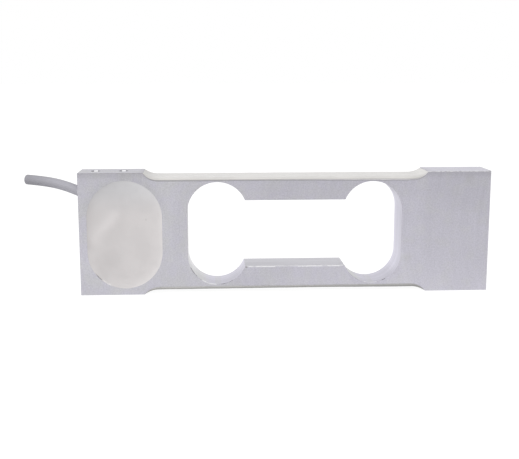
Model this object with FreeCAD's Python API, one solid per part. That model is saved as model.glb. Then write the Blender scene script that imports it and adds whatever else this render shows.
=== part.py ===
"""Beam load cell: one machined aluminium bar with a dog-bone window, four bonded strain gauges under
a silicone coating, a potted pocket with the compensation board, and a short stub of cable.

Millimetres. X runs along the bar from the cable end (-X) to the free end (+X), Y runs through its
width with the pocket on the -Y face, and Z is up. The origin is the centre of the underside.
"""
import FreeCAD, Part
import math
import os

Vector = FreeCAD.Vector

# Bar
BAR_LENGTH = 134.0
BAR_HEIGHT = 40.0
BAR_WIDTH = 12.0
PAD_LENGTH = 20.7
RECESS_DEPTH = 2.5
RAMP_RADIUS = 6.0
EDGE_BREAK = 0.08

# Dog-bone window: two upright lobes joined by a slot
WINDOW_CENTRE_X = 2.85
LOBE_HALF_PITCH = 25.3
LOBE_RADIUS = 9.72
LOBE_HALF_STRAIGHT = 7.13
SLOT_HALF_HEIGHT = 10.9

# Potted pocket in the front of the cable end; each dish ring has its inset from the rim and its depth
POCKET_CENTRE_X = -52.4
POCKET_CENTRE_Z = 19.8
POCKET_RADIUS = 12.1
POCKET_HALF_STRAIGHT = 5.55
POCKET_DEPTH = 4.2
POTTING_SINK = 0.05
DISH_RINGS = ((0.0, POTTING_SINK), (1.0, 0.22), (3.0, 0.37), (6.5, 0.50), (10.0, 0.55))

# Tapped holes: a pair in the top of the cable end, a pair in the underside of the free end
TAP_BORE_RADIUS = 1.25
TAP_BORE_DEPTH = 8.0
TAP_DRILL_HALF_ANGLE = 59.0
TAP_MOUTH_CHAMFER = 0.25
FIRST_HOLE_FROM_END = 5.2
HOLE_PITCH = 9.0

# Silicone over the gauges
COATING_THICKNESS = 1.05
COATING_SIDE_GAP = 0.15
COATING_END_INSET = 0.2
COATING_END_DROP = 0.1
COATING_RAMP_RUN = 4.2
COATING_EDGE_RADIUS = 0.35

# Strain gauges, over and under the two lobes
FILM_SIZE = (8.0, 5.0, 0.1)
GRID_SIZE = (6.8, 3.0, 0.04)
GRID_LINES = 8
GRID_GAP = 0.14
GRID_LOOP = 0.3
GRID_TAB_LENGTH = 1.4
GAUGE_TAB_OFFSET = -2.7
GAUGE_TAB_HALF_PITCH = 0.9
GAUGE_SOLDER_RADIUS = 0.5
GAUGE_SOLDER_HEIGHT = 0.36

# Gauge leads and the drilled ways that take them to the pocket
LEADS_PER_SIDE = 4
LEAD_RADIUS = 0.12
LEAD_HEIGHT = 0.34
LEAD_PITCH = 0.4
FAR_LEAD_Y = (3.4, 4.2)
LEADS_GATHER_FROM_X = -28.5
LEADS_GATHER_TO_X = -37.6
WAY_RADIUS = 0.8
WAY_MOUTH_X = -39.5
WAY_REACH = 7.8
LEADS_CENTRE_Y = -3.9
BEND_SHARE = 0.45

# Compensation board on the pocket floor
TAPE_THICKNESS = 0.3
BOARD_THICKNESS = 0.8
BOARD_SIZE_X = 13.0
BOARD_SIZE_Z = 17.0
BOARD_CENTRE_Z = 17.5
TAPE_MARGIN = 0.5
LEAD_PAD_X = -47.2
LEAD_PAD_PITCH = 1.4
LEAD_SOLDER_RADIUS = 0.55
LEAD_SOLDER_HEIGHT = 0.45
LEAD_END_DEPTH = 0.25
LEAD_DIP = 1.2
LEAD_TURN = 2.0
CORE_PAD_FIRST_X = -55.0
CORE_PAD_PITCH = 1.6
CORE_PAD_Z = 6.7
CORE_SOLDER_RADIUS = 0.7
CORE_SOLDER_HEIGHT = 0.6
CORE_END_DEPTH = 0.4
SOLDER_TOP_SHARE = 0.55
RESISTOR_SIZE = (3.2, 0.6, 1.6)
RESISTOR_EDGE = 0.1
RESISTOR_PLACES = {
    "zero_balance_resistor": (-3.6, 3.2),
    "span_resistor": (1.0, 3.2),
    "zero_temperature_resistor": (-3.6, -3.6),
    "span_temperature_resistor": (1.0, -3.6),
}

# Cable: a shielded four-core stub, cut square
JACKET_RADIUS = 1.6
JACKET_BORE_RADIUS = 1.1
SHIELD_BORE_RADIUS = 1.0
CORE_RADIUS = 0.33
CORE_OFFSET = 0.45
CONDUCTOR_RADIUS = 0.16
CABLE_HOLE_RADIUS = 1.7
CABLE_ROUTE = [
    (-55.77, -3.8, 30.10),
    (-60.66, -3.8, 31.14),
    (-69.90, -3.8, 35.45),
    (-77.40, -1.0, 36.93),
    (-84.36, 2.6, 37.08),
]
CABLE_HOLE_OVERRUN = 4.0
STRIP_RISE = 1.7
CORE_LEAD_OUT = 1.1
CORE_DROP_RISE = 3.4
CORE_NAMES = ("core_red", "core_black", "core_green", "core_white")

# Worked-out places
HALF_LENGTH = BAR_LENGTH / 2
HALF_WIDTH = BAR_WIDTH / 2
MID_Z = BAR_HEIGHT / 2
PAD_EDGE_X = HALF_LENGTH - PAD_LENGTH
RAMP_RUN = math.sqrt(2 * RAMP_RADIUS * RECESS_DEPTH - RECESS_DEPTH**2)
FLOOR_Z = BAR_HEIGHT - RECESS_DEPTH
POCKET_FLOOR_Y = POCKET_DEPTH - HALF_WIDTH
BOARD_BACK_Y = POCKET_FLOOR_Y - TAPE_THICKNESS
BOARD_FRONT_Y = BOARD_BACK_Y - BOARD_THICKNESS
LOBE_CENTRES_X = (WINDOW_CENTRE_X - LOBE_HALF_PITCH, WINDOW_CENTRE_X + LOBE_HALF_PITCH)
ROUTE = [Vector(*point) for point in CABLE_ROUTE]
TOLERANCE = 1e-6


def segment(start, end):
    """One straight edge between two points of the XZ plane."""
    return Part.LineSegment(Vector(start[0], 0, start[1]), Vector(end[0], 0, end[1])).toShape()


def arc_about(centre, radius, from_deg, to_deg):
    """One arc in the XZ plane about a centre, from one angle to another."""
    spots = []
    for share in (0.0, 0.5, 1.0):
        angle = math.radians(from_deg + share * (to_deg - from_deg))
        x = centre[0] + radius * math.cos(angle)
        z = centre[1] + radius * math.sin(angle)
        spots.append(Vector(x, 0, z))
    return Part.Arc(*spots).toShape()


def slab(edges, y_from, y_to):
    """A closed outline in the XZ plane, carried from one Y to another."""
    face = Part.Face(Part.Wire(Part.sortEdges(edges)[0]))
    face.translate(Vector(0, y_from, 0))
    return face.extrude(Vector(0, y_to - y_from, 0))


def block(centre, size):
    """A box about its centre."""
    corner = Vector(*[c - s / 2 for c, s in zip(centre, size)])
    return Part.makeBox(*size, corner)


def flip_height(shape):
    """The same shape mirrored about the bar's middle height."""
    return shape.mirror(Vector(0, 0, MID_Z), Vector(0, 0, 1))


def rounded_path(points, report=None):
    """Straight runs joined by tangent arcs, each as large as its two runs allow."""
    edges = []
    start = points[0]
    for before, corner, after in zip(points, points[1:], points[2:]):
        back = before - corner
        onward = after - corner
        tangent = BEND_SHARE * min(back.Length, onward.Length)
        half_turn = (math.pi - back.getAngle(onward)) / 2
        radius = tangent / math.tan(half_turn)
        back.normalize()
        onward.normalize()
        inward = (back + onward).normalize()
        arc_start = corner + back * tangent
        arc_end = corner + onward * tangent
        middle = corner + inward * (radius / math.cos(half_turn) - radius)
        edges.append(Part.LineSegment(start, arc_start).toShape())
        edges.append(Part.Arc(arc_start, middle, arc_end).toShape())
        start = arc_end
        if report is not None:
            report.append(round(radius, 1))
    edges.append(Part.LineSegment(start, points[-1]).toShape())
    return Part.Wire(edges)


def rod(points, radius, report=None):
    """A round solid along the rounded path through the points."""
    path = rounded_path(points, report)
    ring = Part.makeCircle(radius, points[0], points[1] - points[0])
    return path.makePipeShell([Part.Wire(ring)], True, False)


def lobe_window():
    """The dog-bone outline: two upright obround lobes and the slot between them."""
    rise = SLOT_HALF_HEIGHT - LOBE_HALF_STRAIGHT
    meet_deg = math.degrees(math.asin(rise / LOBE_RADIUS))
    meet_run = LOBE_RADIUS * math.cos(math.radians(meet_deg))
    left, right = LOBE_CENTRES_X
    top = MID_Z + LOBE_HALF_STRAIGHT
    bottom = MID_Z - LOBE_HALF_STRAIGHT
    edges = []
    for side in (1, -1):
        slot_z = MID_Z + side * SLOT_HALF_HEIGHT
        edges.append(segment((left + meet_run, slot_z), (right - meet_run, slot_z)))
        centre_z = MID_Z + side * LOBE_HALF_STRAIGHT
        edges.append(arc_about((left, centre_z), LOBE_RADIUS, side * meet_deg, side * 180))
        edges.append(arc_about((right, centre_z), LOBE_RADIUS, 0, side * (180 - meet_deg)))
    for x in (left - LOBE_RADIUS, right + LOBE_RADIUS):
        edges.append(segment((x, bottom), (x, top)))
    return edges


def bar_outline():
    """The bar's side view: full-height pads and a shallow recess above and below, with cutter ramps."""
    sweep_deg = math.degrees(math.asin(RAMP_RUN / RAMP_RADIUS))
    floor_end = PAD_EDGE_X - RAMP_RUN
    edges = []
    for side in (-1, 1):
        x_end = side * HALF_LENGTH
        x_pad = side * PAD_EDGE_X
        edges.append(segment((x_end, 0), (x_end, BAR_HEIGHT)))
        for z in (0, BAR_HEIGHT):
            edges.append(segment((x_end, z), (x_pad, z)))
        low = (side * floor_end, RECESS_DEPTH - RAMP_RADIUS)
        high = (side * floor_end, FLOOR_Z + RAMP_RADIUS)
        edges.append(arc_about(low, RAMP_RADIUS, 90, 90 - side * sweep_deg))
        edges.append(arc_about(high, RAMP_RADIUS, -90, -90 + side * sweep_deg))
    for z in (RECESS_DEPTH, FLOOR_Z):
        edges.append(segment((-floor_end, z), (floor_end, z)))
    return edges


def pocket_outline(inset):
    """The pocket's obround outline, drawn in by an inset all round."""
    radius = POCKET_RADIUS - inset
    low = POCKET_CENTRE_Z - POCKET_HALF_STRAIGHT
    high = POCKET_CENTRE_Z + POCKET_HALF_STRAIGHT
    edges = []
    for side, centre_z in ((-1, low), (1, high)):
        edges.append(arc_about((POCKET_CENTRE_X, centre_z), radius, 0, side * 180))
        x = POCKET_CENTRE_X + side * radius
        edges.append(segment((x, low), (x, high)))
    return edges


def pocket():
    """The obround pocket, from its floor out to the front face."""
    return slab(pocket_outline(0), -HALF_WIDTH, POCKET_FLOOR_Y)


def dish():
    """The shallow hollow in the potting's face: rings of the pocket's outline, each further in and deeper."""
    rings = []
    for inset, depth in DISH_RINGS:
        ring = Part.Wire(Part.sortEdges(pocket_outline(inset))[0])
        ring.translate(Vector(0, depth - HALF_WIDTH, 0))
        rings.append(ring)
    return Part.makeLoft(rings, True, True)


def cable_hole():
    """The hole drilled down from the end face into the pocket, along the cable's straight run."""
    inward = (ROUTE[1] - ROUTE[2]).normalize()
    start = ROUTE[2] - inward * CABLE_HOLE_OVERRUN
    length = (ROUTE[1] - start).Length
    return Part.makeCylinder(CABLE_HOLE_RADIUS, length, start, inward)


def wire_way():
    """The slanting hole from the upper recess floor down into the pocket."""
    mouth = Vector(WAY_MOUTH_X, LEADS_CENTRE_Y, FLOOR_Z)
    slope = Vector(-1, 0, -1).normalize()
    start = mouth - slope * (2 * WAY_RADIUS)
    return Part.makeCylinder(WAY_RADIUS, WAY_REACH + 2 * WAY_RADIUS, start, slope)


def tapped_bore(x):
    """A blind tap-drilled hole from the top, with its drill point and a chamfered mouth."""
    tip = TAP_BORE_RADIUS / math.tan(math.radians(TAP_DRILL_HALF_ANGLE))
    mouth_radius = TAP_BORE_RADIUS + TAP_MOUTH_CHAMFER
    down = Vector(0, 0, -1)
    top = Vector(x, 0, BAR_HEIGHT)
    drill = Part.makeCylinder(TAP_BORE_RADIUS, TAP_BORE_DEPTH, top, down)
    point = Part.makeCone(TAP_BORE_RADIUS, 0, tip, top + down * TAP_BORE_DEPTH, down)
    mouth = Part.makeCone(mouth_radius, TAP_BORE_RADIUS, TAP_MOUTH_CHAMFER, top, down)
    return drill.fuse([point, mouth]).removeSplitter()


def breakable(edge):
    """True for edges in the two side faces and for the corners of the two end faces."""
    box = edge.BoundBox
    in_side = box.YLength < TOLERANCE and abs(abs(box.YMin) - HALF_WIDTH) < TOLERANCE
    at_end = box.XLength < TOLERANCE and abs(abs(box.XMin) - HALF_LENGTH) < TOLERANCE
    across = box.ZLength < TOLERANCE
    return in_side or (at_end and across)


def beam_body():
    """The whole machined bar."""
    bar = slab(bar_outline(), -HALF_WIDTH, HALF_WIDTH)
    bar = bar.cut(slab(lobe_window(), -HALF_WIDTH, HALF_WIDTH))
    bar = bar.makeChamfer(EDGE_BREAK, [edge for edge in bar.Edges if breakable(edge)])
    holes = [pocket(), cable_hole(), wire_way(), flip_height(wire_way())]
    for place in range(2):
        from_end = FIRST_HOLE_FROM_END + place * HOLE_PITCH
        holes.append(tapped_bore(from_end - HALF_LENGTH))
        holes.append(flip_height(tapped_bore(HALF_LENGTH - from_end)))
    return bar.cut(holes)


def coating_blank():
    """The upper coating as a plain layer: even on the floor and thinning up both ramps."""
    top_z = FLOOR_Z + COATING_THICKNESS
    rise = BAR_HEIGHT - COATING_END_DROP - top_z
    top_radius = (COATING_RAMP_RUN**2 + rise**2) / (2 * rise)
    top_sweep = math.degrees(math.asin(COATING_RAMP_RUN / top_radius))
    end_x = PAD_EDGE_X - COATING_END_INSET
    floor_end = PAD_EDGE_X - RAMP_RUN
    end_sweep = math.degrees(math.asin((end_x - floor_end) / RAMP_RADIUS))
    end_low_z = FLOOR_Z + RAMP_RADIUS * (1 - math.cos(math.radians(end_sweep)))
    end_high_z = BAR_HEIGHT - COATING_END_DROP
    top_end = end_x - COATING_RAMP_RUN
    edges = [segment((-floor_end, FLOOR_Z), (floor_end, FLOOR_Z))]
    edges.append(segment((-top_end, top_z), (top_end, top_z)))
    for side in (-1, 1):
        low = (side * floor_end, FLOOR_Z + RAMP_RADIUS)
        high = (side * top_end, top_z + top_radius)
        edges.append(arc_about(low, RAMP_RADIUS, -90, -90 + side * end_sweep))
        edges.append(arc_about(high, top_radius, -90, -90 + side * top_sweep))
        edges.append(segment((side * end_x, end_low_z), (side * end_x, end_high_z)))
    reach = HALF_WIDTH - COATING_SIDE_GAP
    layer = slab(edges, -reach, reach)
    soft = [edge for edge in layer.Edges if long_top_edge(edge, top_z, reach)]
    return layer.makeFillet(COATING_EDGE_RADIUS, soft)


def long_top_edge(edge, top_z, reach):
    """True for the two long straight edges along the top of the coating."""
    box = edge.BoundBox
    level = box.ZLength < TOLERANCE and abs(box.ZMin - top_z) < TOLERANCE
    return level and box.YLength < TOLERANCE and abs(abs(box.YMin) - reach) < TOLERANCE


def gauge_film(x):
    """The backing film of one gauge, flat on the upper recess floor."""
    return block((x, 0, FLOOR_Z + FILM_SIZE[2] / 2), FILM_SIZE)


def gauge_grid(x):
    """The foil grid of one gauge: two tabs and one line folded to and fro, cut out of a plate."""
    centre_z = FLOOR_Z + FILM_SIZE[2] + GRID_SIZE[2] / 2
    plate = block((x, 0, centre_z), GRID_SIZE)
    left = x - GRID_SIZE[0] / 2
    right = x + GRID_SIZE[0] / 2
    pitch = GRID_SIZE[1] / GRID_LINES
    tab_end = left + GRID_TAB_LENGTH
    lines_start = tab_end + GRID_GAP
    inner_width = GRID_SIZE[1] - 2 * pitch + GRID_GAP
    cuts = [gap(left, lines_start, 0, GRID_GAP), gap(tab_end, lines_start, 0, inner_width)]
    for number in range(1, GRID_LINES):
        y = number * pitch - GRID_SIZE[1] / 2
        if number % 2:
            cuts.append(gap(tab_end, right - GRID_LOOP, y, GRID_GAP))
        else:
            cuts.append(gap(lines_start + GRID_LOOP, right, y, GRID_GAP))
    return plate.cut(cuts)


def gap(x_from, x_to, y, width):
    """A box through the whole height of a gauge's foil."""
    height = 2 * GRID_SIZE[2]
    centre = ((x_from + x_to) / 2, y, FLOOR_Z + FILM_SIZE[2] + GRID_SIZE[2] / 2)
    return block(centre, (x_to - x_from, width, height))


def lead_route(order, x, tab_y, run_y):
    """One lead from a gauge tab along the recess, through the wire way and down to its board pad."""
    z = FLOOR_Z + LEAD_HEIGHT
    y = LEADS_CENTRE_Y + ((LEADS_PER_SIDE - 1) / 2 - order) * LEAD_PITCH
    pad_z = MID_Z + (LEADS_PER_SIDE - 0.5 - order) * LEAD_PAD_PITCH
    start_x = x + GAUGE_TAB_OFFSET
    points = [Vector(start_x, tab_y, z)]
    if run_y != tab_y:
        points.append(Vector(start_x - FILM_SIZE[0] / 4, tab_y, z))
        points.append(Vector(start_x - FILM_SIZE[0], run_y, z))
    points.append(Vector(LEADS_GATHER_FROM_X, run_y, z))
    points.append(Vector(LEADS_GATHER_TO_X, y, z))
    points.append(Vector(WAY_MOUTH_X + LEAD_HEIGHT, y, z))
    drop = WAY_REACH / math.sqrt(2)
    points.append(Vector(WAY_MOUTH_X - drop, y, FLOOR_Z - drop))
    points.append(Vector(LEAD_PAD_X, y, pad_z + LEAD_TURN))
    points.append(Vector(LEAD_PAD_X, y, pad_z + LEAD_DIP))
    points.append(Vector(LEAD_PAD_X, BOARD_FRONT_Y - LEAD_END_DEPTH, pad_z))
    return points


def upper_leads():
    """The four leads of the two upper gauges, with the board end of each route."""
    near, far = LOBE_CENTRES_X
    tab = GAUGE_TAB_HALF_PITCH
    plan = [(0, far, tab, FAR_LEAD_Y[1]), (1, far, -tab, FAR_LEAD_Y[0])]
    plan += [(2, near, tab, tab), (3, near, -tab, -tab)]
    routes = [lead_route(*entry) for entry in plan]
    return [rod(route, LEAD_RADIUS) for route in routes], [route[-1] for route in routes]


def gauge_solder():
    """The solder on the four tabs of the two upper gauges."""
    base_z = FLOOR_Z + FILM_SIZE[2] + GRID_SIZE[2]
    drops = []
    for x in LOBE_CENTRES_X:
        for y in (-GAUGE_TAB_HALF_PITCH, GAUGE_TAB_HALF_PITCH):
            foot = Vector(x + GAUGE_TAB_OFFSET, y, base_z)
            top_radius = GAUGE_SOLDER_RADIUS * SOLDER_TOP_SHARE
            drops.append(Part.makeCone(GAUGE_SOLDER_RADIUS, top_radius, GAUGE_SOLDER_HEIGHT, foot))
    return drops


def board_solder_drop(x, z, radius, height):
    """One solder joint on the front of the board."""
    foot = Vector(x, BOARD_FRONT_Y, z)
    return Part.makeCone(radius, radius * SOLDER_TOP_SHARE, height, foot, Vector(0, -1, 0))


def board_plate(size_x, size_z, y_back, thickness):
    """A flat plate parallel to the pocket floor, centred behind the potting."""
    centre = (POCKET_CENTRE_X, y_back - thickness / 2, BOARD_CENTRE_Z)
    return block(centre, (size_x, thickness, size_z))


def resistor(place):
    """One chip resistor on the board, its corners slightly broken."""
    x = POCKET_CENTRE_X + place[0]
    z = BOARD_CENTRE_Z + place[1]
    chip = block((x, BOARD_FRONT_Y - RESISTOR_SIZE[1] / 2, z), RESISTOR_SIZE)
    return chip.makeChamfer(RESISTOR_EDGE, chip.Edges)


def core_routes():
    """Each core's line: down the cable beside the middle, then fanned out to its pad on the board."""
    tip = (ROUTE[-1] - ROUTE[-2]).normalize()
    across = tip.cross(Vector(0, 0, 1)).normalize()
    upward = across.cross(tip)
    inward = (ROUTE[0] - ROUTE[1]).normalize()
    pad_z = BOARD_CENTRE_Z + CORE_PAD_Z
    routes = []
    for number in range(len(CORE_NAMES)):
        side = 1 if number % 2 else -1
        level = 1 if number > 1 else -1
        offset = across * (side * CORE_OFFSET) + upward * (level * CORE_OFFSET)
        pad_x = CORE_PAD_FIRST_X + number * CORE_PAD_PITCH
        inner = ROUTE[0] + offset + inward * CORE_LEAD_OUT
        drop = Vector(pad_x, inner.y, pad_z + CORE_DROP_RISE)
        dip = Vector(pad_x, BOARD_FRONT_Y - CORE_END_DEPTH, pad_z + STRIP_RISE)
        end = Vector(pad_x, BOARD_FRONT_Y - CORE_END_DEPTH, pad_z)
        routes.append([end, dip, drop, inner] + [point + offset for point in ROUTE[1:]])
    return routes


def cores():
    """The four insulated cores and their conductors; the insulation stops short of each pad."""
    sleeves = {}
    conductors = []
    for name, route in zip(CORE_NAMES, core_routes()):
        conductor = rod(route, CONDUCTOR_RADIUS)
        bare_end = route[0] + Vector(0, 0, STRIP_RISE / 2)
        sleeves[name] = rod([bare_end] + route[1:], CORE_RADIUS).cut(conductor)
        conductors.append(conductor)
    return sleeves, conductors


def cable_tubes():
    """The jacket and the shield, two plain tubes along the cable's route."""
    radii = []
    outside = rod(ROUTE, JACKET_RADIUS, radii)
    lining = rod(ROUTE, JACKET_BORE_RADIUS)
    hollow = rod(ROUTE, SHIELD_BORE_RADIUS)
    length = rounded_path(ROUTE).Length
    section = math.pi * JACKET_RADIUS**2
    print("cable arc radii", radii, "length", round(length, 2))
    print("cable volume", round(outside.Volume, 2), "section times length", round(section * length, 2))
    return outside.cut(lining), lining.cut(hollow)


def gauge_nodes():
    """What lies in the two recesses, upper and lower alike, and the board ends of the leads."""
    nodes = {}
    leads, ends = upper_leads()
    solder = [drop.cut(leads) for drop in gauge_solder()]
    held = leads + solder
    for place, x in zip(("cable_end", "free_end"), LOBE_CENTRES_X):
        film = gauge_film(x)
        grid = gauge_grid(x)
        held += [film, grid]
        nodes[f"upper_{place}_gauge_film"] = film
        nodes[f"upper_{place}_gauge_grid"] = grid
    nodes["upper_gauge_solder"] = Part.makeCompound(solder)
    nodes["upper_gauge_leads"] = Part.makeCompound(leads)
    nodes["upper_gauge_coating"] = coating_blank().cut(held)
    for name, shape in list(nodes.items()):
        nodes[name.replace("upper", "lower")] = flip_height(shape)
    return nodes, ends


def board_nodes(lead_ends, wires):
    """The board, its tape, its resistors and its solder joints, each joint cut around its wire."""
    tape_x = BOARD_SIZE_X - 2 * TAPE_MARGIN
    tape_z = BOARD_SIZE_Z - 2 * TAPE_MARGIN
    nodes = {
        "board_tape": board_plate(tape_x, tape_z, POCKET_FLOOR_Y, TAPE_THICKNESS),
        "circuit_board": board_plate(BOARD_SIZE_X, BOARD_SIZE_Z, BOARD_BACK_Y, BOARD_THICKNESS),
    }
    for name, place in RESISTOR_PLACES.items():
        nodes[name] = resistor(place)
    drops = []
    for end in lead_ends:
        for z in (end.z, BAR_HEIGHT - end.z):
            drops.append(board_solder_drop(end.x, z, LEAD_SOLDER_RADIUS, LEAD_SOLDER_HEIGHT))
    for route in core_routes():
        end = route[0]
        drops.append(board_solder_drop(end.x, end.z, CORE_SOLDER_RADIUS, CORE_SOLDER_HEIGHT))
    nodes["board_solder"] = Part.makeCompound([drop.cut(wires) for drop in drops])
    return nodes


def potting(held):
    """The filling of the pocket, the cable hole and the wire ways, dished, around all that they hold."""
    hollow = pocket().fuse([cable_hole(), wire_way(), flip_height(wire_way())])
    envelope = slab(bar_outline(), POTTING_SINK - HALF_WIDTH, HALF_WIDTH)
    filling = hollow.common(envelope).cut(held + [dish()])
    return max(filling.Solids, key=lambda solid: solid.Volume)


def build():
    """Every piece by its node name; the potting comes last, around all that it holds."""
    nodes = {"beam_body": beam_body()}
    in_recesses, lead_ends = gauge_nodes()
    jacket, shield = cable_tubes()
    sleeves, conductors = cores()
    in_cable = {"cable_jacket": jacket, "cable_shield": shield, **sleeves}
    in_cable["core_conductors"] = Part.makeCompound(conductors)
    leads = [in_recesses["upper_gauge_leads"], in_recesses["lower_gauge_leads"]]
    on_board = board_nodes(lead_ends, conductors + leads)
    nodes.update(in_recesses)
    nodes.update(on_board)
    nodes.update(in_cable)
    cable_core = rod(ROUTE, JACKET_RADIUS)
    held = [cable_core] + list(sleeves.values()) + conductors + leads + list(on_board.values())
    nodes["pocket_potting"] = potting(held)
    return nodes


def main():
    os.makedirs("parts", exist_ok=True)
    for name, shape in build().items():
        shape.exportStep(os.path.join("parts", name + ".step"))


if __name__ == "__main__":
    main()
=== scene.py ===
"""Looks of a beam load cell: a blasted aluminium bar, silicone over its gauges, a potted pocket and a cable stub.

Metres, in the part's own frame. X runs along the bar from the cable end to the free end, Y runs through its
width with the pocket on the -Y face, Z is up, and the origin is the centre of the underside.
"""

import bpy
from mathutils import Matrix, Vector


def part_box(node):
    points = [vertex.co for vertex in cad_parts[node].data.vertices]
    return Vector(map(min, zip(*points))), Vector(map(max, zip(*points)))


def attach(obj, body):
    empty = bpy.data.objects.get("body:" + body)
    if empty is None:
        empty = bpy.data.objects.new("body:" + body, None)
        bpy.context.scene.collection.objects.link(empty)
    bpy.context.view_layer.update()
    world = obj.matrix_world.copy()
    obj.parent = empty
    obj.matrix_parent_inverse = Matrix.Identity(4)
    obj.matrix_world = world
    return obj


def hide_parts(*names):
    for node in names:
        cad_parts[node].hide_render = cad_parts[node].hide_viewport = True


bl_info = {
    "name": "Beam load cell",
    "version": (1, 0, 0),
    "blender": (4, 5, 0),
    "location": "View3D > Sidebar > Load cell",
    "description": "Dresses the load cell's pieces and sets its stage",
    "category": "Object",
}

import math

import bmesh
import bpy
import numpy as np
from mathutils import Vector

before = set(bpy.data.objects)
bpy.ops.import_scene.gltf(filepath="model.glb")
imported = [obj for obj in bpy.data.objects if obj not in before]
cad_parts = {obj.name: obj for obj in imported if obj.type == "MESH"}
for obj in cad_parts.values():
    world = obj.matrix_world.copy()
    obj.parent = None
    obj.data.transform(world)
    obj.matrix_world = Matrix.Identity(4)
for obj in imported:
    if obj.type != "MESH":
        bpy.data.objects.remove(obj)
bpy.context.view_layer.update()

MM = 0.001
TURN = 2 * math.pi

# Bar, from the frame
BAR_LOW, BAR_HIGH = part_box("beam_body")
HALF_WIDTH = BAR_HIGH.y
BAR_HEIGHT = BAR_HIGH.z
END_X = BAR_LOW.x

# Recess that the coatings lie in
COAT_LOW, COAT_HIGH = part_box("upper_gauge_coating")
RECESS_FLOOR_Z = COAT_LOW.z
COAT_END_X = COAT_HIGH.x
COAT_TOP_END_Z = COAT_HIGH.z
RAMP_RADIUS = 6.0 * MM
FLAT_END_X = 41.43 * MM
PAD_START_X = 46.3 * MM
COAT_RAMP_RUN = 4.2 * MM

# Pocket in the front of the cable end
POCKET_CENTRE_X = -52.4 * MM
POCKET_CENTRE_Z = 19.8 * MM
POCKET_RADIUS = 12.1 * MM
POCKET_HALF_STRAIGHT = 5.55 * MM
POCKET_FLOOR_Y = -1.8 * MM

# Window of two lobes and a slot
LOBE_RADIUS = 9.72 * MM
CABLE_LOBE = (-22.45 * MM, 12.87 * MM)
FREE_LOBE = (28.15 * MM, 12.87 * MM)
SLOT_LOW_Z = 9.1 * MM
SLOT_HIGH_Z = 30.9 * MM
SLOT_ENDS_X = (-13.45 * MM, 19.15 * MM)

# Tapped holes
HOLE_PLACES_X = (61.8 * MM, 52.8 * MM)
BORE_RADIUS = 1.25 * MM
BORE_DEPTH = 8.0 * MM
MOUTH_DEPTH = 0.25 * MM

# Chips on the board in the pocket, in two columns
CHIP_MIDDLE_X = POCKET_CENTRE_X - 1.3 * MM
CHIP_HALF_PITCH = 2.3 * MM

# Cable route from its inner end to the cut tip, and where it leaves the end face
CABLE_ROUTE = (
    (-55.77 * MM, -3.8 * MM, 30.10 * MM),
    (-60.66 * MM, -3.8 * MM, 31.14 * MM),
    (-69.90 * MM, -3.8 * MM, 35.45 * MM),
    (-77.40 * MM, -1.0 * MM, 36.93 * MM),
    (-84.36 * MM, 2.6 * MM, 37.08 * MM),
)
CABLE_EXIT = (-67.0 * MM, -3.8 * MM, 34.1 * MM)


def srgb(red, green, blue):
    """A colour read as 0 to 255 on a screen, as the linear RGBA that Blender's sockets take."""
    shares = [value / 255 for value in (red, green, blue)]
    linear = [s / 12.92 if s <= 0.04045 else ((s + 0.055) / 1.055) ** 2.4 for s in shares]
    return (*linear, 1.0)


def length_property(name, description, default):
    """One size that a user would change, in metres."""
    return bpy.props.FloatProperty(
        name=name, description=description, default=default, min=0.0, unit="LENGTH", precision=5
    )


def colour_property(name, description, default):
    """One colour that a user would change."""
    return bpy.props.FloatVectorProperty(
        name=name, description=description, default=default, size=4, min=0.0, max=1.0, subtype="COLOR"
    )


class LoadCellSizes(bpy.types.PropertyGroup):
    """Sizes of the pieces that are made here"""

    coat_thickness: length_property("Coating thickness", "Silicone over the recess floor", 1.05 * MM)
    coat_round: length_property("Coating edge", "Width of the soft edge of the silicone", 0.45 * MM)
    coat_low_round: length_property("Lower coating edge", "Width of the lower silicone's soft edge", 0.7 * MM)
    coat_wobble: length_property("Coating wobble", "How far the silicone's edge wanders", 0.04 * MM)
    coat_side_gap: length_property("Coating gap", "From the bar's side to the silicone", 0.03 * MM)
    dish_depth: length_property("Potting dish", "How far the middle of the potting sinks", 0.28 * MM)
    curl_depth: length_property("Potting curl", "How far the potting climbs at the rim", 0.28 * MM)
    curl_width: length_property("Potting curl width", "Width of the climb to the rim", 1.2 * MM)
    thread_pitch: length_property("Thread pitch", "Rise of the thread in one turn", 0.5 * MM)
    thread_depth: length_property("Thread depth", "Height of the thread's ridge", 0.16 * MM)
    jacket_diameter: length_property("Cable diameter", "Outside of the cable jacket", 3.2 * MM)
    jacket_bore: length_property("Cable bore", "Inside of the cable jacket", 2.2 * MM)
    seal_width: length_property("Entry seal", "Curl of potting round the cable at the end face", 0.12 * MM)
    burr_radius: length_property("Burr", "Thickest radius of the burrs on the milled edges", 0.08 * MM)


class LoadCellColours(bpy.types.PropertyGroup):
    """Colours of the pieces that show"""

    metal: colour_property("Bar", "Blasted aluminium", srgb(207, 205, 215))
    metal_wall: colour_property("Milled walls", "Aluminium of the milled walls", srgb(203, 201, 212))
    # Bright cut aluminium of the threads and burrs, brightened past real metal as a painted highlight; also the
    # colour of the glints and the tapped holes' insides.
    metal_cut_and_highlight: colour_property("Cut metal", "Aluminium of the threads and the burrs", srgb(250, 250, 251))
    coat: colour_property("Coating", "Silicone over the upper gauges", srgb(221, 219, 217))
    # The lower silicone is the same silicone in a darker colour, as painted shade under the bar.
    coat_low_shaded: colour_property("Lower coating", "Silicone over the lower gauges", srgb(187, 186, 184))
    potting: colour_property("Potting", "Resin in the pocket", srgb(217, 213, 213))
    jacket: colour_property("Cable", "Cable jacket", srgb(166, 165, 172))


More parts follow.
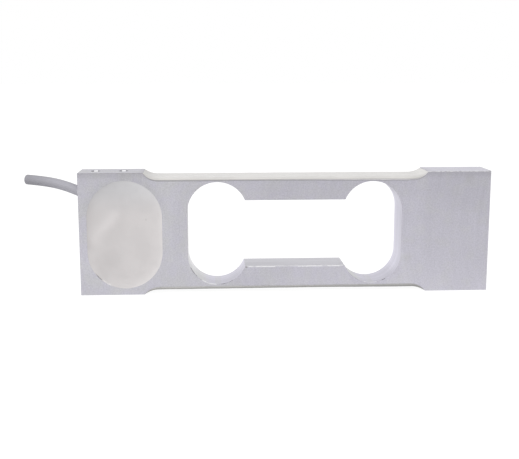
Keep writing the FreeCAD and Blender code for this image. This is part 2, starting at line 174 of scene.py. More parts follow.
class LoadCellStage(bpy.types.PropertyGroup):
    """Camera and light"""

    camera_place: bpy.props.FloatVectorProperty(
        name="Camera place",
        description="Where the camera stands",
        default=(-24.978 * MM, -292.407 * MM, 72.63 * MM),
        subtype="TRANSLATION",
        unit="LENGTH",
    )
    camera_turn: bpy.props.FloatVectorProperty(
        name="Camera turn",
        description="How the camera is tilted and turned",
        default=(math.radians(79.845), 0.0, math.radians(-3.231)),
        subtype="EULER",
    )
    lens: bpy.props.FloatProperty(
        name="Lens", description="Focal length of the camera", default=62.15, unit="CAMERA"
    )
    ambient: bpy.props.FloatProperty(
        name="Ambient", description="Level of the light from all round", default=0.5, min=0.0
    )
    slant: bpy.props.FloatProperty(
        name="Slant", description="Level of the soft light from the upper left", default=0.9, min=0.0
    )
    key_power: bpy.props.FloatProperty(
        name="Key lamp", description="Power of the large lamp at the upper left", default=1.2, unit="POWER"
    )
    fill_power: bpy.props.FloatProperty(
        name="Fill lamp", description="Power of the weak lamp at the right", default=0.3, unit="POWER"
    )


# Node helpers


def wire(tree, node, sockets):
    """Feeds a node's inputs, by name or number, with plain values or with other nodes' outputs."""
    for name, value in sockets.items():
        if isinstance(value, bpy.types.NodeSocket):
            tree.links.new(value, node.inputs[name])
        else:
            node.inputs[name].default_value = value


def add(tree, kind, sockets=None, **settings):
    """One node with its settings and its inputs."""
    node = tree.nodes.new(kind)
    for name, value in settings.items():
        setattr(node, name, value)
    wire(tree, node, sockets or {})
    return node


def calc(tree, operation, *values):
    """One Math node's result."""
    return add(tree, "ShaderNodeMath", dict(enumerate(values)), operation=operation).outputs[0]


def fold(tree, operation, values):
    """Several values joined by one operation, two at a time."""
    result = values[0]
    for value in values[1:]:
        result = calc(tree, operation, result, value)
    return result


def times(tree, *values):
    """The product of several values."""
    return fold(tree, "MULTIPLY", values)


def most(tree, *values):
    """The largest of several values."""
    return fold(tree, "MAXIMUM", values)


def less(tree, value, taken):
    """One value less another."""
    return calc(tree, "SUBTRACT", value, taken)


def unsigned(tree, value):
    """A value without its sign."""
    return calc(tree, "ABSOLUTE", value)


def off(tree, value, middle):
    """How far a value lies from a middle, on either side."""
    return unsigned(tree, less(tree, value, middle))


def weigh(tree, *parts):
    """A sum of values, each with its weight."""
    total = 0.0
    for value, weight in parts:
        total = calc(tree, "MULTIPLY_ADD", value, weight, total)
    return total


def remap(tree, value, low, high, to_low=0.0, to_high=1.0):
    """A value eased from one range to another and held at its ends."""
    sockets = {"Value": value, "From Min": low, "From Max": high, "To Min": to_low, "To Max": to_high}
    return add(tree, "ShaderNodeMapRange", sockets, interpolation_type="SMOOTHSTEP").outputs["Result"]


def fall(tree, value, low, high):
    """1 up to one value, easing to 0 at another."""
    return remap(tree, value, low, high, 1.0, 0.0)


def between(tree, value, start, end, soft):
    """1 between two values, easing to 0 past them."""
    return times(tree, remap(tree, value, start - soft, start + soft), fall(tree, value, end - soft, end + soft))


def mix(tree, share, first, second):
    """Two colours mixed by a share."""
    return add(tree, "ShaderNodeMix", {0: share, 6: first, 7: second}, data_type="RGBA").outputs[2]


def scale_colour(tree, colour, level):
    """A colour made darker or lighter by a value."""
    return add(tree, "ShaderNodeVectorMath", {0: colour, "Scale": level}, operation="SCALE").outputs[0]


def split(tree, vector):
    """The three parts of a vector."""
    return add(tree, "ShaderNodeSeparateXYZ", {"Vector": vector}).outputs[:]


def span(tree, first, second):
    """The length of the long side of a right angle."""
    return calc(tree, "SQRT", calc(tree, "ADD", times(tree, first, first), times(tree, second, second)))


def noise(tree, vector, scale, detail=2.0):
    """The value of a noise texture."""
    sockets = {"Vector": vector, "Scale": scale, "Detail": detail}
    return add(tree, "ShaderNodeTexNoise", sockets).outputs["Fac"]


def ragged(tree, x, scale, detail):
    """A noise that changes only along the bar."""
    return noise(tree, add(tree, "ShaderNodeCombineXYZ", {0: x}).outputs[0], scale, detail)


def stretch(tree, vector, scale):
    """A vector scaled by three factors."""
    return add(tree, "ShaderNodeMapping", {"Vector": vector, "Scale": scale}).outputs["Vector"]


def texture_group(name):
    """An empty shader group of a Vector and a Size in metres, its scale, and its Tone output's node."""
    group = bpy.data.node_groups.new(name, "ShaderNodeTree")
    group.interface.new_socket("Vector", in_out="INPUT", socket_type="NodeSocketVector")
    group.interface.new_socket("Size", in_out="INPUT", socket_type="NodeSocketFloat")
    group.interface.new_socket("Tone", in_out="OUTPUT", socket_type="NodeSocketFloat")
    given = group.nodes.new("NodeGroupInput").outputs
    scale = calc(group, "DIVIDE", 1.0, given["Size"])
    return group, given["Vector"], scale, group.nodes.new("NodeGroupOutput")


def fine_grain_group():
    """Speckle of a given size: a coarse and a fine noise, added and spread about one half."""
    group, vector, scale, result = texture_group("fine_grain")
    coarse = noise(group, vector, scale, 1.0)
    fine = noise(group, vector, times(group, scale, 2.7), 1.0)
    wire(group, result, {"Tone": remap(group, calc(group, "ADD", coarse, fine), 0.65, 1.35)})
    return group


def soft_patches_group():
    """Broad uneven tone: one slow noise, spread to run from 0 to 1."""
    group, vector, scale, result = texture_group("soft_patches")
    wire(group, result, {"Tone": remap(group, noise(group, vector, scale, 3.0), 0.3, 0.7)})
    return group


FINE_GRAIN = fine_grain_group()
SOFT_PATCHES = soft_patches_group()


def place_group(tree, group, vector, size):
    """A shared group placed in a material with its own values; its one output."""
    return add(tree, "ShaderNodeGroup", {"Vector": vector, "Size": size}, node_tree=group).outputs[0]


def start_material(name, **sockets):
    """A material with one Principled shader; its tree, its shader and its Object coordinates."""
    material = bpy.data.materials.new(name)
    material.use_nodes = True
    tree = material.node_tree
    tree.nodes.clear()
    shader = add(tree, "ShaderNodeBsdfPrincipled", sockets)
    add(tree, "ShaderNodeOutputMaterial", {"Surface": shader.outputs["BSDF"]})
    place = add(tree, "ShaderNodeTexCoord").outputs["Object"]
    return material, tree, shader, place


def shade(colour, factor):
    """A colour made darker or lighter by one factor."""
    return (*[min(1.0, part * factor) for part in colour[:3]], 1.0)


def tint(colour, *factors):
    """A colour with each of its three parts made darker or lighter by its own factor."""
    return tuple(part * factor for part, factor in zip(colour, (*factors, 1.0)))


def grey_of(colour):
    """The grey of a colour: the mean of its three parts."""
    return (*[sum(colour[:3]) / 3] * 3, 1.0)


def set_bump(tree, shader, height, distance, strength):
    """A bump of a height in metres on a shader's normal."""
    sockets = {"Height": height, "Distance": distance, "Strength": strength}
    wire(tree, shader, {"Normal": add(tree, "ShaderNodeBump", sockets).outputs["Normal"]})


# Finish of the bar

# Colour of the painted shade marks on the sides, and of the greyer pads beside the recess
SHADE_AND_DULL_METAL = srgb(150, 147, 147)
STAIN_METAL = srgb(184, 184, 176)

# Marks on the bar's sides, real stains and pale patches, the painted shade in a nick and the runs of a painted
# glint: places along and up the bar, the size of each round one, and runs along x
STAINS = (((40.2 * MM, 11.5 * MM), 2.6 * MM), ((59.5 * MM, 37.6 * MM), 2.4 * MM))
PALE_PATCHES = ((-37 * MM, 33 * MM), (39 * MM, 33 * MM), (63 * MM, 21 * MM))
PALE_PATCH_SIZE = 10 * MM
SLOT_NICK = ((-13.1 * MM, 8.8 * MM), 0.6 * MM)
GLINT_LINE = (-12.7 * MM, 18.6 * MM)
GLINT_RUNS = ((-12.4 * MM, -3.6 * MM), (3.8 * MM, 12.0 * MM), (13.5 * MM, 17.6 * MM))
LOBE_GLINT_TURN = (math.radians(-121), math.radians(-93))

# How deep under an outer face a wall of the bar still counts as part of that face
FACE_DEPTHS = (0.7 * MM, 0.3 * MM)


def hole_side(tree, x):
    """How far along the bar a place lies from the middle of the nearest tapped hole."""
    middle = sum(HOLE_PLACES_X) / 2
    return less(tree, off(tree, unsigned(tree, x), middle), HOLE_PLACES_X[0] - middle)


def hole_flank_shade(tree, x):
    """Painted shade: 1 at the two flanks of a tapped hole, left and right of its middle."""
    return remap(tree, unsigned(tree, hole_side(tree, x)), 0.6 * MM, 0.75 * MM)


def hole_mouth(tree, x, y, z):
    """1 inside the tapped holes, which lie in the top of one end and in the underside of the other; the bar is
    painted bright there, partly as cut metal and partly as a highlight.
    """
    edge = BORE_RADIUS + MOUTH_DEPTH
    near = fall(tree, span(tree, hole_side(tree, x), y), edge - 0.03 * MM, edge + 0.07 * MM)
    ends = times(tree, x, less(tree, z, BAR_HEIGHT / 2))
    return times(tree, near, calc(tree, "LESS_THAN", ends, 0.0))


def recess_edge(tree, x):
    """Height of the upper recess along the bar: flat, then a circular ramp up to the pad at each end."""
    run = most(tree, less(tree, unsigned(tree, x), FLAT_END_X), 0.0)
    run = calc(tree, "MINIMUM", run, RAMP_RADIUS)
    drop = calc(tree, "SQRT", less(tree, RAMP_RADIUS**2, times(tree, run, run)))
    return less(tree, RECESS_FLOOR_Z + RAMP_RADIUS, drop)


def silicone_run_and_shadow_line(tree, x, z):
    """Where silicone has run over the upper edge of a side, further towards the free end but not at its ramp, and
    the painted shadow line that follows below it."""
    wander = times(tree, ragged(tree, x, 260.0, 2.0), 0.12 * MM)
    reach = calc(tree, "ADD", remap(tree, x, -15 * MM, 38 * MM, -0.1 * MM, 0.12 * MM), wander)
    reach = less(tree, reach, remap(tree, x, 39 * MM, 43 * MM, 0.0, 0.1 * MM))
    past = less(tree, less(tree, recess_edge(tree, x), z), reach)
    over = fall(tree, past, -0.04 * MM, 0.04 * MM)
    # Painted shadow: a dark line just below the silicone's edge.
    line = times(tree, remap(tree, past, -0.04 * MM, 0.06 * MM), fall(tree, past, 0.25 * MM, 0.5 * MM))
    return over, line


def slot_glint(tree, x, z):
    """Painted highlight: 1 along the bright edge of the slot's floor, a faint line with three bright ragged runs.
    """
    near = fall(tree, off(tree, z, SLOT_LOW_Z - 0.2 * MM), 0.07 * MM, 0.2 * MM)
    run = times(tree, between(tree, x, *GLINT_LINE, 0.3 * MM), 0.3)
    bright = [between(tree, x, *ends, 0.3 * MM) for ends in GLINT_RUNS]
    broken = remap(tree, ragged(tree, x, 520.0, 3.0), 0.34, 0.54, 0.5, 1.0)
    return times(tree, near, most(tree, run, *bright), broken)


def lobe_glint(tree, x, z):
    """Painted highlight: about one half along a stretch of the cable end lobe's lower rim, and 0 elsewhere."""
    aside, above = less(tree, x, CABLE_LOBE[0]), less(tree, z, CABLE_LOBE[1])
    past = off(tree, span(tree, aside, above), LOBE_RADIUS + 0.1 * MM)
    run = between(tree, calc(tree, "ARCTAN2", above, aside), *LOBE_GLINT_TURN, math.radians(2))
    return times(tree, fall(tree, past, 0.04 * MM, 0.16 * MM), run, 0.55)


def pad_edge(tree, z):
    """1 at the upper edge of the pads' sides."""
    return remap(tree, z, BAR_HEIGHT - 0.36 * MM, BAR_HEIGHT - 0.16 * MM)


def stain(tree, x, z, centre, size):
    """1 at the middle of a round stain on a side, fading to 0 at its rim."""
    return fall(tree, span(tree, less(tree, x, centre[0]), less(tree, z, centre[1])), 0.0, size)


def pocket_ring(tree, x, z):
    """1 at the upper rim of the pocket, fading to 0 over a few millimetres of the side round it."""
    above = most(tree, less(tree, off(tree, z, POCKET_CENTRE_Z), POCKET_HALF_STRAIGHT), 0.0)
    away = span(tree, less(tree, x, POCKET_CENTRE_X), above)
    return times(tree, fall(tree, away, POCKET_RADIUS, POCKET_RADIUS + 3 * MM), remap(tree, z, 24 * MM, 32 * MM))


def painted_shade_marks(tree, x, z, line):
    """Painted shade on a side: the shadow line below the silicone, the shade in the nick at the slot's end, a
    dark line at the edge of the cable end's pad, and a band below both pads' edges that darkens towards the top."""
    line = times(tree, line, remap(tree, x, -30 * MM, 10 * MM, 0.55, 0.42))
    nick = times(tree, stain(tree, x, z, *SLOT_NICK), 0.8)
    edge = times(tree, pad_edge(tree, z), calc(tree, "LESS_THAN", x, 0.0), 0.25)
    band = remap(tree, z, BAR_HEIGHT - 2.8 * MM, BAR_HEIGHT - 0.3 * MM, 0.0, 0.22)
    return most(tree, line, nick, calc(tree, "ADD", edge, band))


def painted_highlights(tree, x, z):
    """Painted highlights on the front: the glints of the slot and the lobe, and a ragged highlight along the free
    end pad's upper edge.
    """
    broken = remap(tree, ragged(tree, x, 700.0, 3.0), 0.36, 0.60, 0.25, 1.0)
    edge_highlight = times(tree, pad_edge(tree, z), broken, calc(tree, "GREATER_THAN", x, 0.0))
    return most(tree, slot_glint(tree, x, z), lobe_glint(tree, x, z), edge_highlight)


def side_painted_shading(tree, x, z):
    """Painted light and shade on a side: lighter upwards and at the cable end as painted light from the upper
    left, darker along the foot as painted shade, with pale patches and a pale band by the free lobe, and darker
    round the pocket's top."""
    # Painted light: lighter upwards and towards the cable end. Painted shade: darker along the foot.
    climb = times(tree, remap(tree, x, -35 * MM, 25 * MM, 2.6, 1.2), less(tree, z, BAR_HEIGHT / 2))
    foot = times(tree, fall(tree, z, 3 * MM, 12 * MM), fall(tree, x, 25 * MM, 45 * MM))
    band = times(tree, between(tree, x, 37 * MM, 46 * MM, 1.5 * MM), between(tree, z, 9 * MM, 31 * MM, 4 * MM))
    pale = [(stain(tree, x, z, centre, PALE_PATCH_SIZE), 0.035) for centre in PALE_PATCHES]
    ring = pocket_ring(tree, x, z)
    along = remap(tree, x, -55 * MM, 0.0, 0.005, -0.045)
    return weigh(tree, (climb, 1.0), (along, 1.0), (foot, -0.04), *pale, (ring, -0.06), (band, 0.035))


def blasted_colour(tree, place, side, metal):
    """Colour of the blasted faces and their grain: fine and coarse grain, cloudy patches and faint bent cutter
    marks in its tone, slow drifts from the metal's own tint to plain grey, and painted light and shade: the
    sides' painted drift, and on the pads and ends a painted shade that deepens towards the cable end."""
    x, y, z = split(tree, place)
    grain = place_group(tree, FINE_GRAIN, place, 0.16 * MM)
    speckle = place_group(tree, FINE_GRAIN, place, 0.5 * MM)
    patches = place_group(tree, SOFT_PATCHES, place, 12 * MM)
    rise = less(tree, z, BAR_HEIGHT / 2)
    bent = less(tree, x, times(tree, rise, rise, 1 / (140 * MM)))
    marks = add(tree, "ShaderNodeCombineXYZ", {0: bent, 1: y, 2: z}).outputs[0]
    marks = noise(tree, stretch(tree, marks, (700.0, 20.0, 25.0)), 1.0)
    tone = weigh(tree, (grain, 0.3), (speckle, 0.35), (patches, 0.1), (marks, 0.25))
    blush = place_group(tree, SOFT_PATCHES, place, 4 * MM)
    share = calc(tree, "MULTIPLY_ADD", blush, 0.5, remap(tree, x, -40 * MM, 20 * MM, 0.1, -0.2))
    base = mix(tree, most(tree, share, 0.0), metal, grey_of(metal))
    # Painted shade on the pads and ends, deeper towards the cable end; the sides take the painted light and shade
    # of their drift instead.
    painted_lean = remap(tree, x, -50 * MM, 50 * MM, -0.145, -0.05)
    drift = weigh(tree, (less(tree, side_painted_shading(tree, x, z), painted_lean), side), (painted_lean, 1.0))
    level = times(tree, remap(tree, tone, 0.0, 1.0, 0.86, 1.14), calc(tree, "ADD", drift, 1.02))
    return scale_colour(tree, base, level), grain


def wall_colour(tree, place, ahead, wall):
    """Colour of the milled walls and their cutter passes: fine and broad lines round the window, lighter on the
    upright walls, partly as cleaner milled metal and partly as painted light, lighter towards the back and at the
    cable end, a little darker where they lie level, and greyer where they face the free end."""
    x, y, _ = split(tree, place)
    upright = unsigned(tree, ahead)
    fine = noise(tree, stretch(tree, place, (60.0, 2600.0, 60.0)), 1.0)
    broad = noise(tree, stretch(tree, place, (40.0, 800.0, 40.0)), 1.0, 1.0)
    passes = weigh(tree, (fine, 0.5), (broad, 0.5))
    level = times(
        tree,
        remap(tree, passes, 0.2, 0.8, 0.9, 1.1),
        remap(tree, y, -HALF_WIDTH, HALF_WIDTH, 0.95, 1.05),
        # Lighter on the upright walls: partly cleaner milled metal, partly painted light.
        remap(tree, upright, 0.6, 0.95, 1.0, 1.22),
        remap(tree, upright, 0.0, 0.15, 0.95, 1.0),
        remap(tree, x, -20 * MM, -10 * MM, 1.05, 1.0),
    )
    share = most(tree, remap(tree, ahead, 0.2, 0.6, 0.0, 0.85), remap(tree, upright, 0.0, 0.15, 0.45, 0.0))
    return scale_colour(tree, mix(tree, share, wall, grey_of(wall)), level), passes


def bar_metal(colours):
    """Blasted aluminium outside, milled walls in the window and the recesses, painted shade marks and painted
    highlights, pads greyer beside the recess, bright tapped holes, partly cut metal and partly painted highlight,
    with painted shade on their flanks, and silicone run over the sides' upper edge, painted lighter than the
    coating."""
    material, tree, shader, place = start_material("bar_metal")
    x, y, z = split(tree, place)
    metal = tuple(colours.metal)
    normal = split(tree, add(tree, "ShaderNodeNewGeometry").outputs["True Normal"])
    side = remap(tree, unsigned(tree, normal[1]), 0.5, 0.9)
    pads = remap(tree, off(tree, z, BAR_HEIGHT / 2), *[BAR_HEIGHT / 2 - depth for depth in FACE_DEPTHS])
    ends = remap(tree, unsigned(tree, x), *[-END_X - depth for depth in FACE_DEPTHS])
    blasted = most(tree, side, pads, ends)
    milled = less(tree, 1.0, blasted)
    outside, grain = blasted_colour(tree, place, side, metal)
    walls, passes = wall_colour(tree, place, normal[0], tuple(colours.metal_wall))
    over, line = silicone_run_and_shadow_line(tree, x, z)
    film = times(tree, side, over)
    mouth = hole_mouth(tree, x, y, z)
    painted_shade = times(tree, side, painted_shade_marks(tree, x, z, line))
    pad_grey = remap(tree, unsigned(tree, x), PAD_START_X, PAD_START_X + 2.5 * MM, 0.14, 0.0)
    pads_greyed = times(tree, pads, less(tree, 1.0, side), pad_grey)
    stained = times(tree, side, most(tree, *[stain(tree, x, z, *spot) for spot in STAINS]), 0.22)
    bright = times(tree, side, calc(tree, "LESS_THAN", y, 0.0), painted_highlights(tree, x, z))
    colour = mix(tree, blasted, walls, outside)
    # Painted shade marks, greyer pads, real stains, painted highlights and the bright hole mouths, painted shade
    # on the hole flanks, and the silicone film in the coating's colour lightened as painted light.
    for share, finish in (
        (painted_shade, SHADE_AND_DULL_METAL),
        (pads_greyed, SHADE_AND_DULL_METAL),
        (stained, STAIN_METAL),
        (most(tree, bright, mouth), tuple(colours.metal_cut_and_highlight)),
        (times(tree, mouth, hole_flank_shade(tree, x)), shade(metal, 0.18)),
        (film, shade(colours.coat, 1.18)),
    ):
        colour = mix(tree, share, colour, finish)
    bare = less(tree, 1.0, most(tree, film, times(tree, mouth, 0.6)))
    rough = weigh(tree, (remap(tree, grain, 0.0, 1.0, 0.46, 0.56), 1.0), (milled, -0.08), (mouth, -0.2))
    wire(tree, shader, {"Base Color": colour, "Metallic": bare, "Roughness": rough})
    set_bump(tree, shader, weigh(tree, (grain, blasted), (passes, milled)), 0.02 * MM, 0.35)
    return material


def cut_metal(name, colour, roughness, flank_shade=None):
    """Freshly cut aluminium of the threads and burrs, whose bright colour is partly a painted highlight, or the
    painted shade of the nicks, with a slight grain, and for the threads a painted shade at the flanks of each
    hole."""
    material, tree, shader, place = start_material(name, Metallic=1.0, Roughness=roughness)
    grain = place_group(tree, FINE_GRAIN, place, 0.12 * MM)
    finish = mix(tree, grain, shade(colour, 0.86), colour)
    if flank_shade:
        finish = mix(tree, hole_flank_shade(tree, split(tree, place)[0]), finish, flank_shade)
    wire(tree, shader, {"Base Color": finish})
    return material


# Finish of the soft pieces


def coat_silicone_painted_shading(name, coat, edge, painted_lean):
    """Ivory silicone: satin, with faint milky patches and a fine dusty grain; painted light and shade: another,
    lighter colour on its steep edges and darker where it starts to turn down, darker on the ramps, and lighter by
    a share towards the cable end."""
    material, tree, shader, place = start_material(name)
    grain = place_group(tree, FINE_GRAIN, place, 0.22 * MM)
    patches = place_group(tree, SOFT_PATCHES, place, 9 * MM)
    rise = unsigned(tree, split(tree, add(tree, "ShaderNodeNewGeometry").outputs["Normal"])[2])
    x = split(tree, place)[0]
    # Painted light and shade: lighter towards the cable end, darker on the ramps and where the top starts to turn
    # down.
    level = times(
        tree,
        remap(tree, x, -COAT_END_X, COAT_END_X, 1.0 + painted_lean, 1.0),
        remap(tree, unsigned(tree, x), 38 * MM, 42 * MM, 1.0, 0.94),
        remap(tree, rise, 0.5, 0.97, 0.90, 1.0),
        remap(tree, patches, 0.0, 1.0, 0.97, 1.02),
    )
    colour = scale_colour(tree, mix(tree, remap(tree, rise, 0.15, 0.5), edge, coat), level)
    colour = mix(tree, times(tree, grain, 0.12), colour, shade(coat, 0.9))
    wire(tree, shader, {"Base Color": colour, "Roughness": remap(tree, patches, 0.0, 1.0, 0.42, 0.55)})
    set_bump(tree, shader, patches, 0.02 * MM, 0.06)
    return material


def potting_resin(colours):
    """Warm white resin: smooth, with cloudy patches, a stored tone of painted light and shade that carries the
    streak, pale chips painted as highlights and a dark gap painted as shade along its rim, and cooler towards the
    top."""
    material, tree, shader, place = start_material("potting_resin")
    grain = place_group(tree, FINE_GRAIN, place, 0.3 * MM)
    patches = place_group(tree, SOFT_PATCHES, place, 7 * MM)
    kept = ("cast_tone_and_shading", "rim_glint_and_shade")
    tone, mark = [add(tree, "ShaderNodeAttribute", attribute_name=name).outputs["Fac"] for name in kept]
    potting = tuple(colours.potting)
    high = remap(tree, split(tree, place)[2], 25 * MM, 36 * MM)
    level = times(tree, remap(tree, patches, 0.0, 1.0, 0.97, 1.02), remap(tree, tone, 0.0, 1.0, 0.86, 1.04))
    colour = scale_colour(tree, mix(tree, high, potting, tint(potting, 0.968, 1.0, 1.025)), level)
    colour = mix(tree, times(tree, grain, 0.12), colour, shade(potting, 0.9))
    # Painted highlights on the rim's chips, then painted shade in its gap.
    colour = mix(tree, most(tree, mark, 0.0), colour, shade(potting, 1.17))
    colour = mix(tree, most(tree, times(tree, mark, -1.0), 0.0), colour, shade(potting, 0.5))
    wire(tree, shader, {"Base Color": colour, "Roughness": remap(tree, patches, 0.0, 1.0, 0.36, 0.48)})
    set_bump(tree, shader, patches, 0.03 * MM, 0.2)
    return material


def jacket_plastic(colours):
    """Grey cable plastic with faint lines along its length and a matt mottle, painted shade towards the cut end
    and painted light underneath."""
    sockets = {"Roughness": 0.7, "Specular IOR Level": 0.25}
    material, tree, shader, place = start_material("jacket_plastic", **sockets)
    along = add(tree, "ShaderNodeUVMap", uv_map="UVMap").outputs["UV"]
    lines = noise(tree, stretch(tree, along, (60.0, 26.0, 1.0)), 1.0)
    grain = place_group(tree, FINE_GRAIN, place, 0.2 * MM)
    jacket = tuple(colours.jacket)
    colour = mix(tree, lines, shade(jacket, 0.92), shade(jacket, 1.06))
    colour = mix(tree, times(tree, grain, 0.2), colour, shade(jacket, 0.85))
    rise = split(tree, add(tree, "ShaderNodeNewGeometry").outputs["Normal"])[2]
    # Painted shade towards the cut end and painted light underneath.
    tone = remap(tree, split(tree, place)[0], -86 * MM, -66 * MM, 0.78, 1.14)
    tone = times(tree, tone, remap(tree, rise, -0.95, -0.1, 1.28, 1.0))
    wire(tree, shader, {"Base Color": scale_colour(tree, colour, tone)})
    set_bump(tree, shader, lines, 0.02 * MM, 0.3)
    return material


# Finishes of the insides


def bands(tree, value, pitch):
    """Soft stripes from 0 to 1: a sine of a value."""
    return calc(tree, "MULTIPLY_ADD", calc(tree, "SINE", times(tree, value, TURN / pitch)), 0.5, 0.5)


def weave(tree, place):
    """A braid: two slanted sets of stripes that cross."""
    x, y, z = split(tree, place)
    rise = calc(tree, "ADD", y, z)
    stripes = [bands(tree, calc(tree, way, x, rise), 0.5 * MM) for way in ("ADD", "SUBTRACT")]
    return off(tree, *stripes)


def twist(tree, place):
    """Strands laid round each other: fine slanted stripes."""
    x, y, z = split(tree, place)
    return bands(tree, weigh(tree, (x, 1.0), (y, 1.5), (z, 1.5)), 0.25 * MM)


def traces(tree, place):
    """Copper lines on a board: narrow stripes one pad's pitch apart, broken by a slow noise."""
    lines = remap(tree, bands(tree, split(tree, place)[0], 1.6 * MM), 0.8, 0.92)
    return times(tree, lines, remap(tree, noise(tree, place, 180.0), 0.42, 0.52))


def end_caps(tree, place):
    """1 at both ends of each chip on the board; the chips stand in two columns."""
    away = off(tree, off(tree, split(tree, place)[0], CHIP_MIDDLE_X), CHIP_HALF_PITCH)
    return remap(tree, away, 1.10 * MM, 1.15 * MM)


def brushed(tree, place):
    """Fine lines along the bar."""
    return noise(tree, stretch(tree, place, (80.0, 5000.0, 5000.0)), 1.0, 1.0)


def clouds(tree, place):
    """Slow patches."""
    return place_group(tree, SOFT_PATCHES, place, 0.8 * MM)


def patterned(name, first, second, pattern, roughness, metallic=0.0):
    """A material whose colour goes from one to another with a pattern, with a fine grain over both."""
    material, tree, shader, place = start_material(name, Roughness=roughness, Metallic=metallic)
    share = pattern(tree, place)
    grain = place_group(tree, FINE_GRAIN, place, 0.15 * MM)
    level = remap(tree, grain, 0.0, 1.0, 0.9, 1.08)
    wire(tree, shader, {"Base Color": scale_colour(tree, mix(tree, share, first, second), level)})
    set_bump(tree, shader, weigh(tree, (share, 0.6), (grain, 0.4)), 0.02 * MM, 0.25)
    return material


# Surface helpers


def grid_faces(rows, columns, close_rows=False, close_columns=False):
    """The quads of a grid of points numbered row by row; a closed way joins its last line to its first."""
    row = np.arange(rows if close_rows else rows - 1)[:, None]
    column = np.arange(columns if close_columns else columns - 1)[None, :]
    next_row = (row + 1) % rows * columns
    next_column = (column + 1) % columns
    corners = (row * columns + column, next_row + column, next_row + next_column, row * columns + next_column)
    return np.stack(np.broadcast_arrays(*corners), axis=-1).reshape(-1, 4)


def make_piece(name, points, faces, material, merge=True):
    """A smooth mesh object of the part's body, with its doubled seam and pole points merged."""
    mesh = bpy.data.meshes.new(name)
    mesh.from_pydata(points.reshape(-1, 3).tolist(), [], faces.tolist())
    if merge:
        shape = bmesh.new()
        shape.from_mesh(mesh)
        bmesh.ops.remove_doubles(shape, verts=shape.verts, dist=1e-7)
        bmesh.ops.dissolve_degenerate(shape, edges=shape.edges, dist=1e-8)
        shape.to_mesh(mesh)
        shape.free()
    mesh.polygons.foreach_set("use_smooth", np.ones(len(mesh.polygons), bool))
    mesh.materials.append(material)
    mesh.update()
    piece = bpy.data.objects.new(name, mesh)
    bpy.context.scene.collection.objects.link(piece)
    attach(piece, "root")
    return piece


def store(piece, name, values):
    """Keeps one value for each point of a piece under a name."""
    kept = piece.data.attributes.new(name, "FLOAT", "POINT")
    kept.data.foreach_set("value", values.astype(np.float32))


def uneven(along, phase, lengths=(17.0, 7.3, 3.9)):
    """A wandering line between about -1 and 1: sines of a few wavelengths in millimetres, each weaker."""
    total = np.zeros_like(along)
    for number, length in enumerate(lengths):
        total = total + 0.6 ** number * np.sin(TURN * along / (length * MM) + phase * (number + 1))
    return total / 1.8


def ease(value, low, high):
    """0 up to one value, 1 from another, and a smooth cubic step between them."""
    share = np.clip((value - low) / (high - low), 0, 1)
    return share**2 * (3 - 2 * share)


# Coating


def recess_floor(x):
    """Height of the upper recess floor: flat, then a circular ramp up to the pad at each end."""
    run = np.clip(np.abs(x) - FLAT_END_X, 0, RAMP_RADIUS)
    return RECESS_FLOOR_Z + RAMP_RADIUS - np.sqrt(RAMP_RADIUS**2 - run**2)


def coat_top(x, thickness):
    """Height of the coating's top: even over the flat, then a circular rise to the pad's edge at each end."""
    rise = COAT_TOP_END_Z - RECESS_FLOOR_Z - thickness
    radius = (COAT_RAMP_RUN**2 + rise**2) / (2 * rise)
    run = np.clip(np.abs(x) - COAT_END_X + COAT_RAMP_RUN, 0, COAT_RAMP_RUN)
    return RECESS_FLOOR_Z + thickness + radius - np.sqrt(radius**2 - run**2)


def soft_edge(distance, width):
    """A quarter ellipse: 0 at an edge, rising steeply and then level at 1 from a width inwards."""
    return np.sqrt(1 - (1 - np.clip(distance / width, 0, 1)) ** 2)


def low_share(x):
    """The lower coating's thickness along the bar as a share of the upper one's: a slight straight fall towards
    the free end, and an eased rise over that half."""
    u = x / COAT_END_X
    return 0.89 - 0.08 * u + 0.21 * ease(u, 0.15, 0.9)


def coating_points(sizes, phase, share, edge):
    """The upper coating as two sheets that meet at their rim: its underside, sunk a hair into the recess
    floor, and its top, which is the floor plus a thickness that falls to nothing in a soft edge all round."""
    across = np.sin(np.linspace(-1, 1, 45) * math.pi / 2)
    along = np.sin(np.linspace(-1, 1, 301) * math.pi / 2 * 0.6) / math.sin(math.pi / 2 * 0.6)
    u, v = np.meshgrid(along, across, indexing="ij")
    end_wander = 0.05 * MM * uneven(v * HALF_WIDTH, phase + np.sign(u), (9.0, 4.1))
    x = u * (COAT_END_X + 0.10 * MM + end_wander)
    reach = HALF_WIDTH - sizes.coat_side_gap - sizes.coat_wobble
    reach = reach + sizes.coat_wobble * uneven(x, phase + 2 * np.sign(v))
    y = v * reach
    level = sizes.coat_thickness * share(x) + 0.015 * MM * uneven(x + 0.4 * y, phase, (11.0, 5.0))
    height = coat_top(x, level) - recess_floor(x)
    height = height * soft_edge(reach * (1 - np.abs(v)), edge)
    height = height * soft_edge(COAT_END_X * (1 - np.abs(u)), 0.6 * sizes.coat_round)
    floor = recess_floor(x) - 0.02 * MM
    top = np.stack([x, y, floor + height + 0.02 * MM * np.sign(height)], axis=-1)
    under = np.stack([x, y, floor], axis=-1)
    return top, under


def coating_piece(name, points, material, flip):
    """One coating, closed from its two sheets, and turned over about the bar's middle for the lower one."""
    top, under = points
    rows, columns = top.shape[:2]
    faces = grid_faces(rows, columns)
    points = np.concatenate([top.reshape(-1, 3), under.reshape(-1, 3)])
    faces = np.concatenate([faces, faces[:, ::-1] + rows * columns])
    if flip:
        points[:, 2] = BAR_HEIGHT - points[:, 2]
        faces = faces[:, ::-1]
    return make_piece(name, points, faces, material)


# Potting


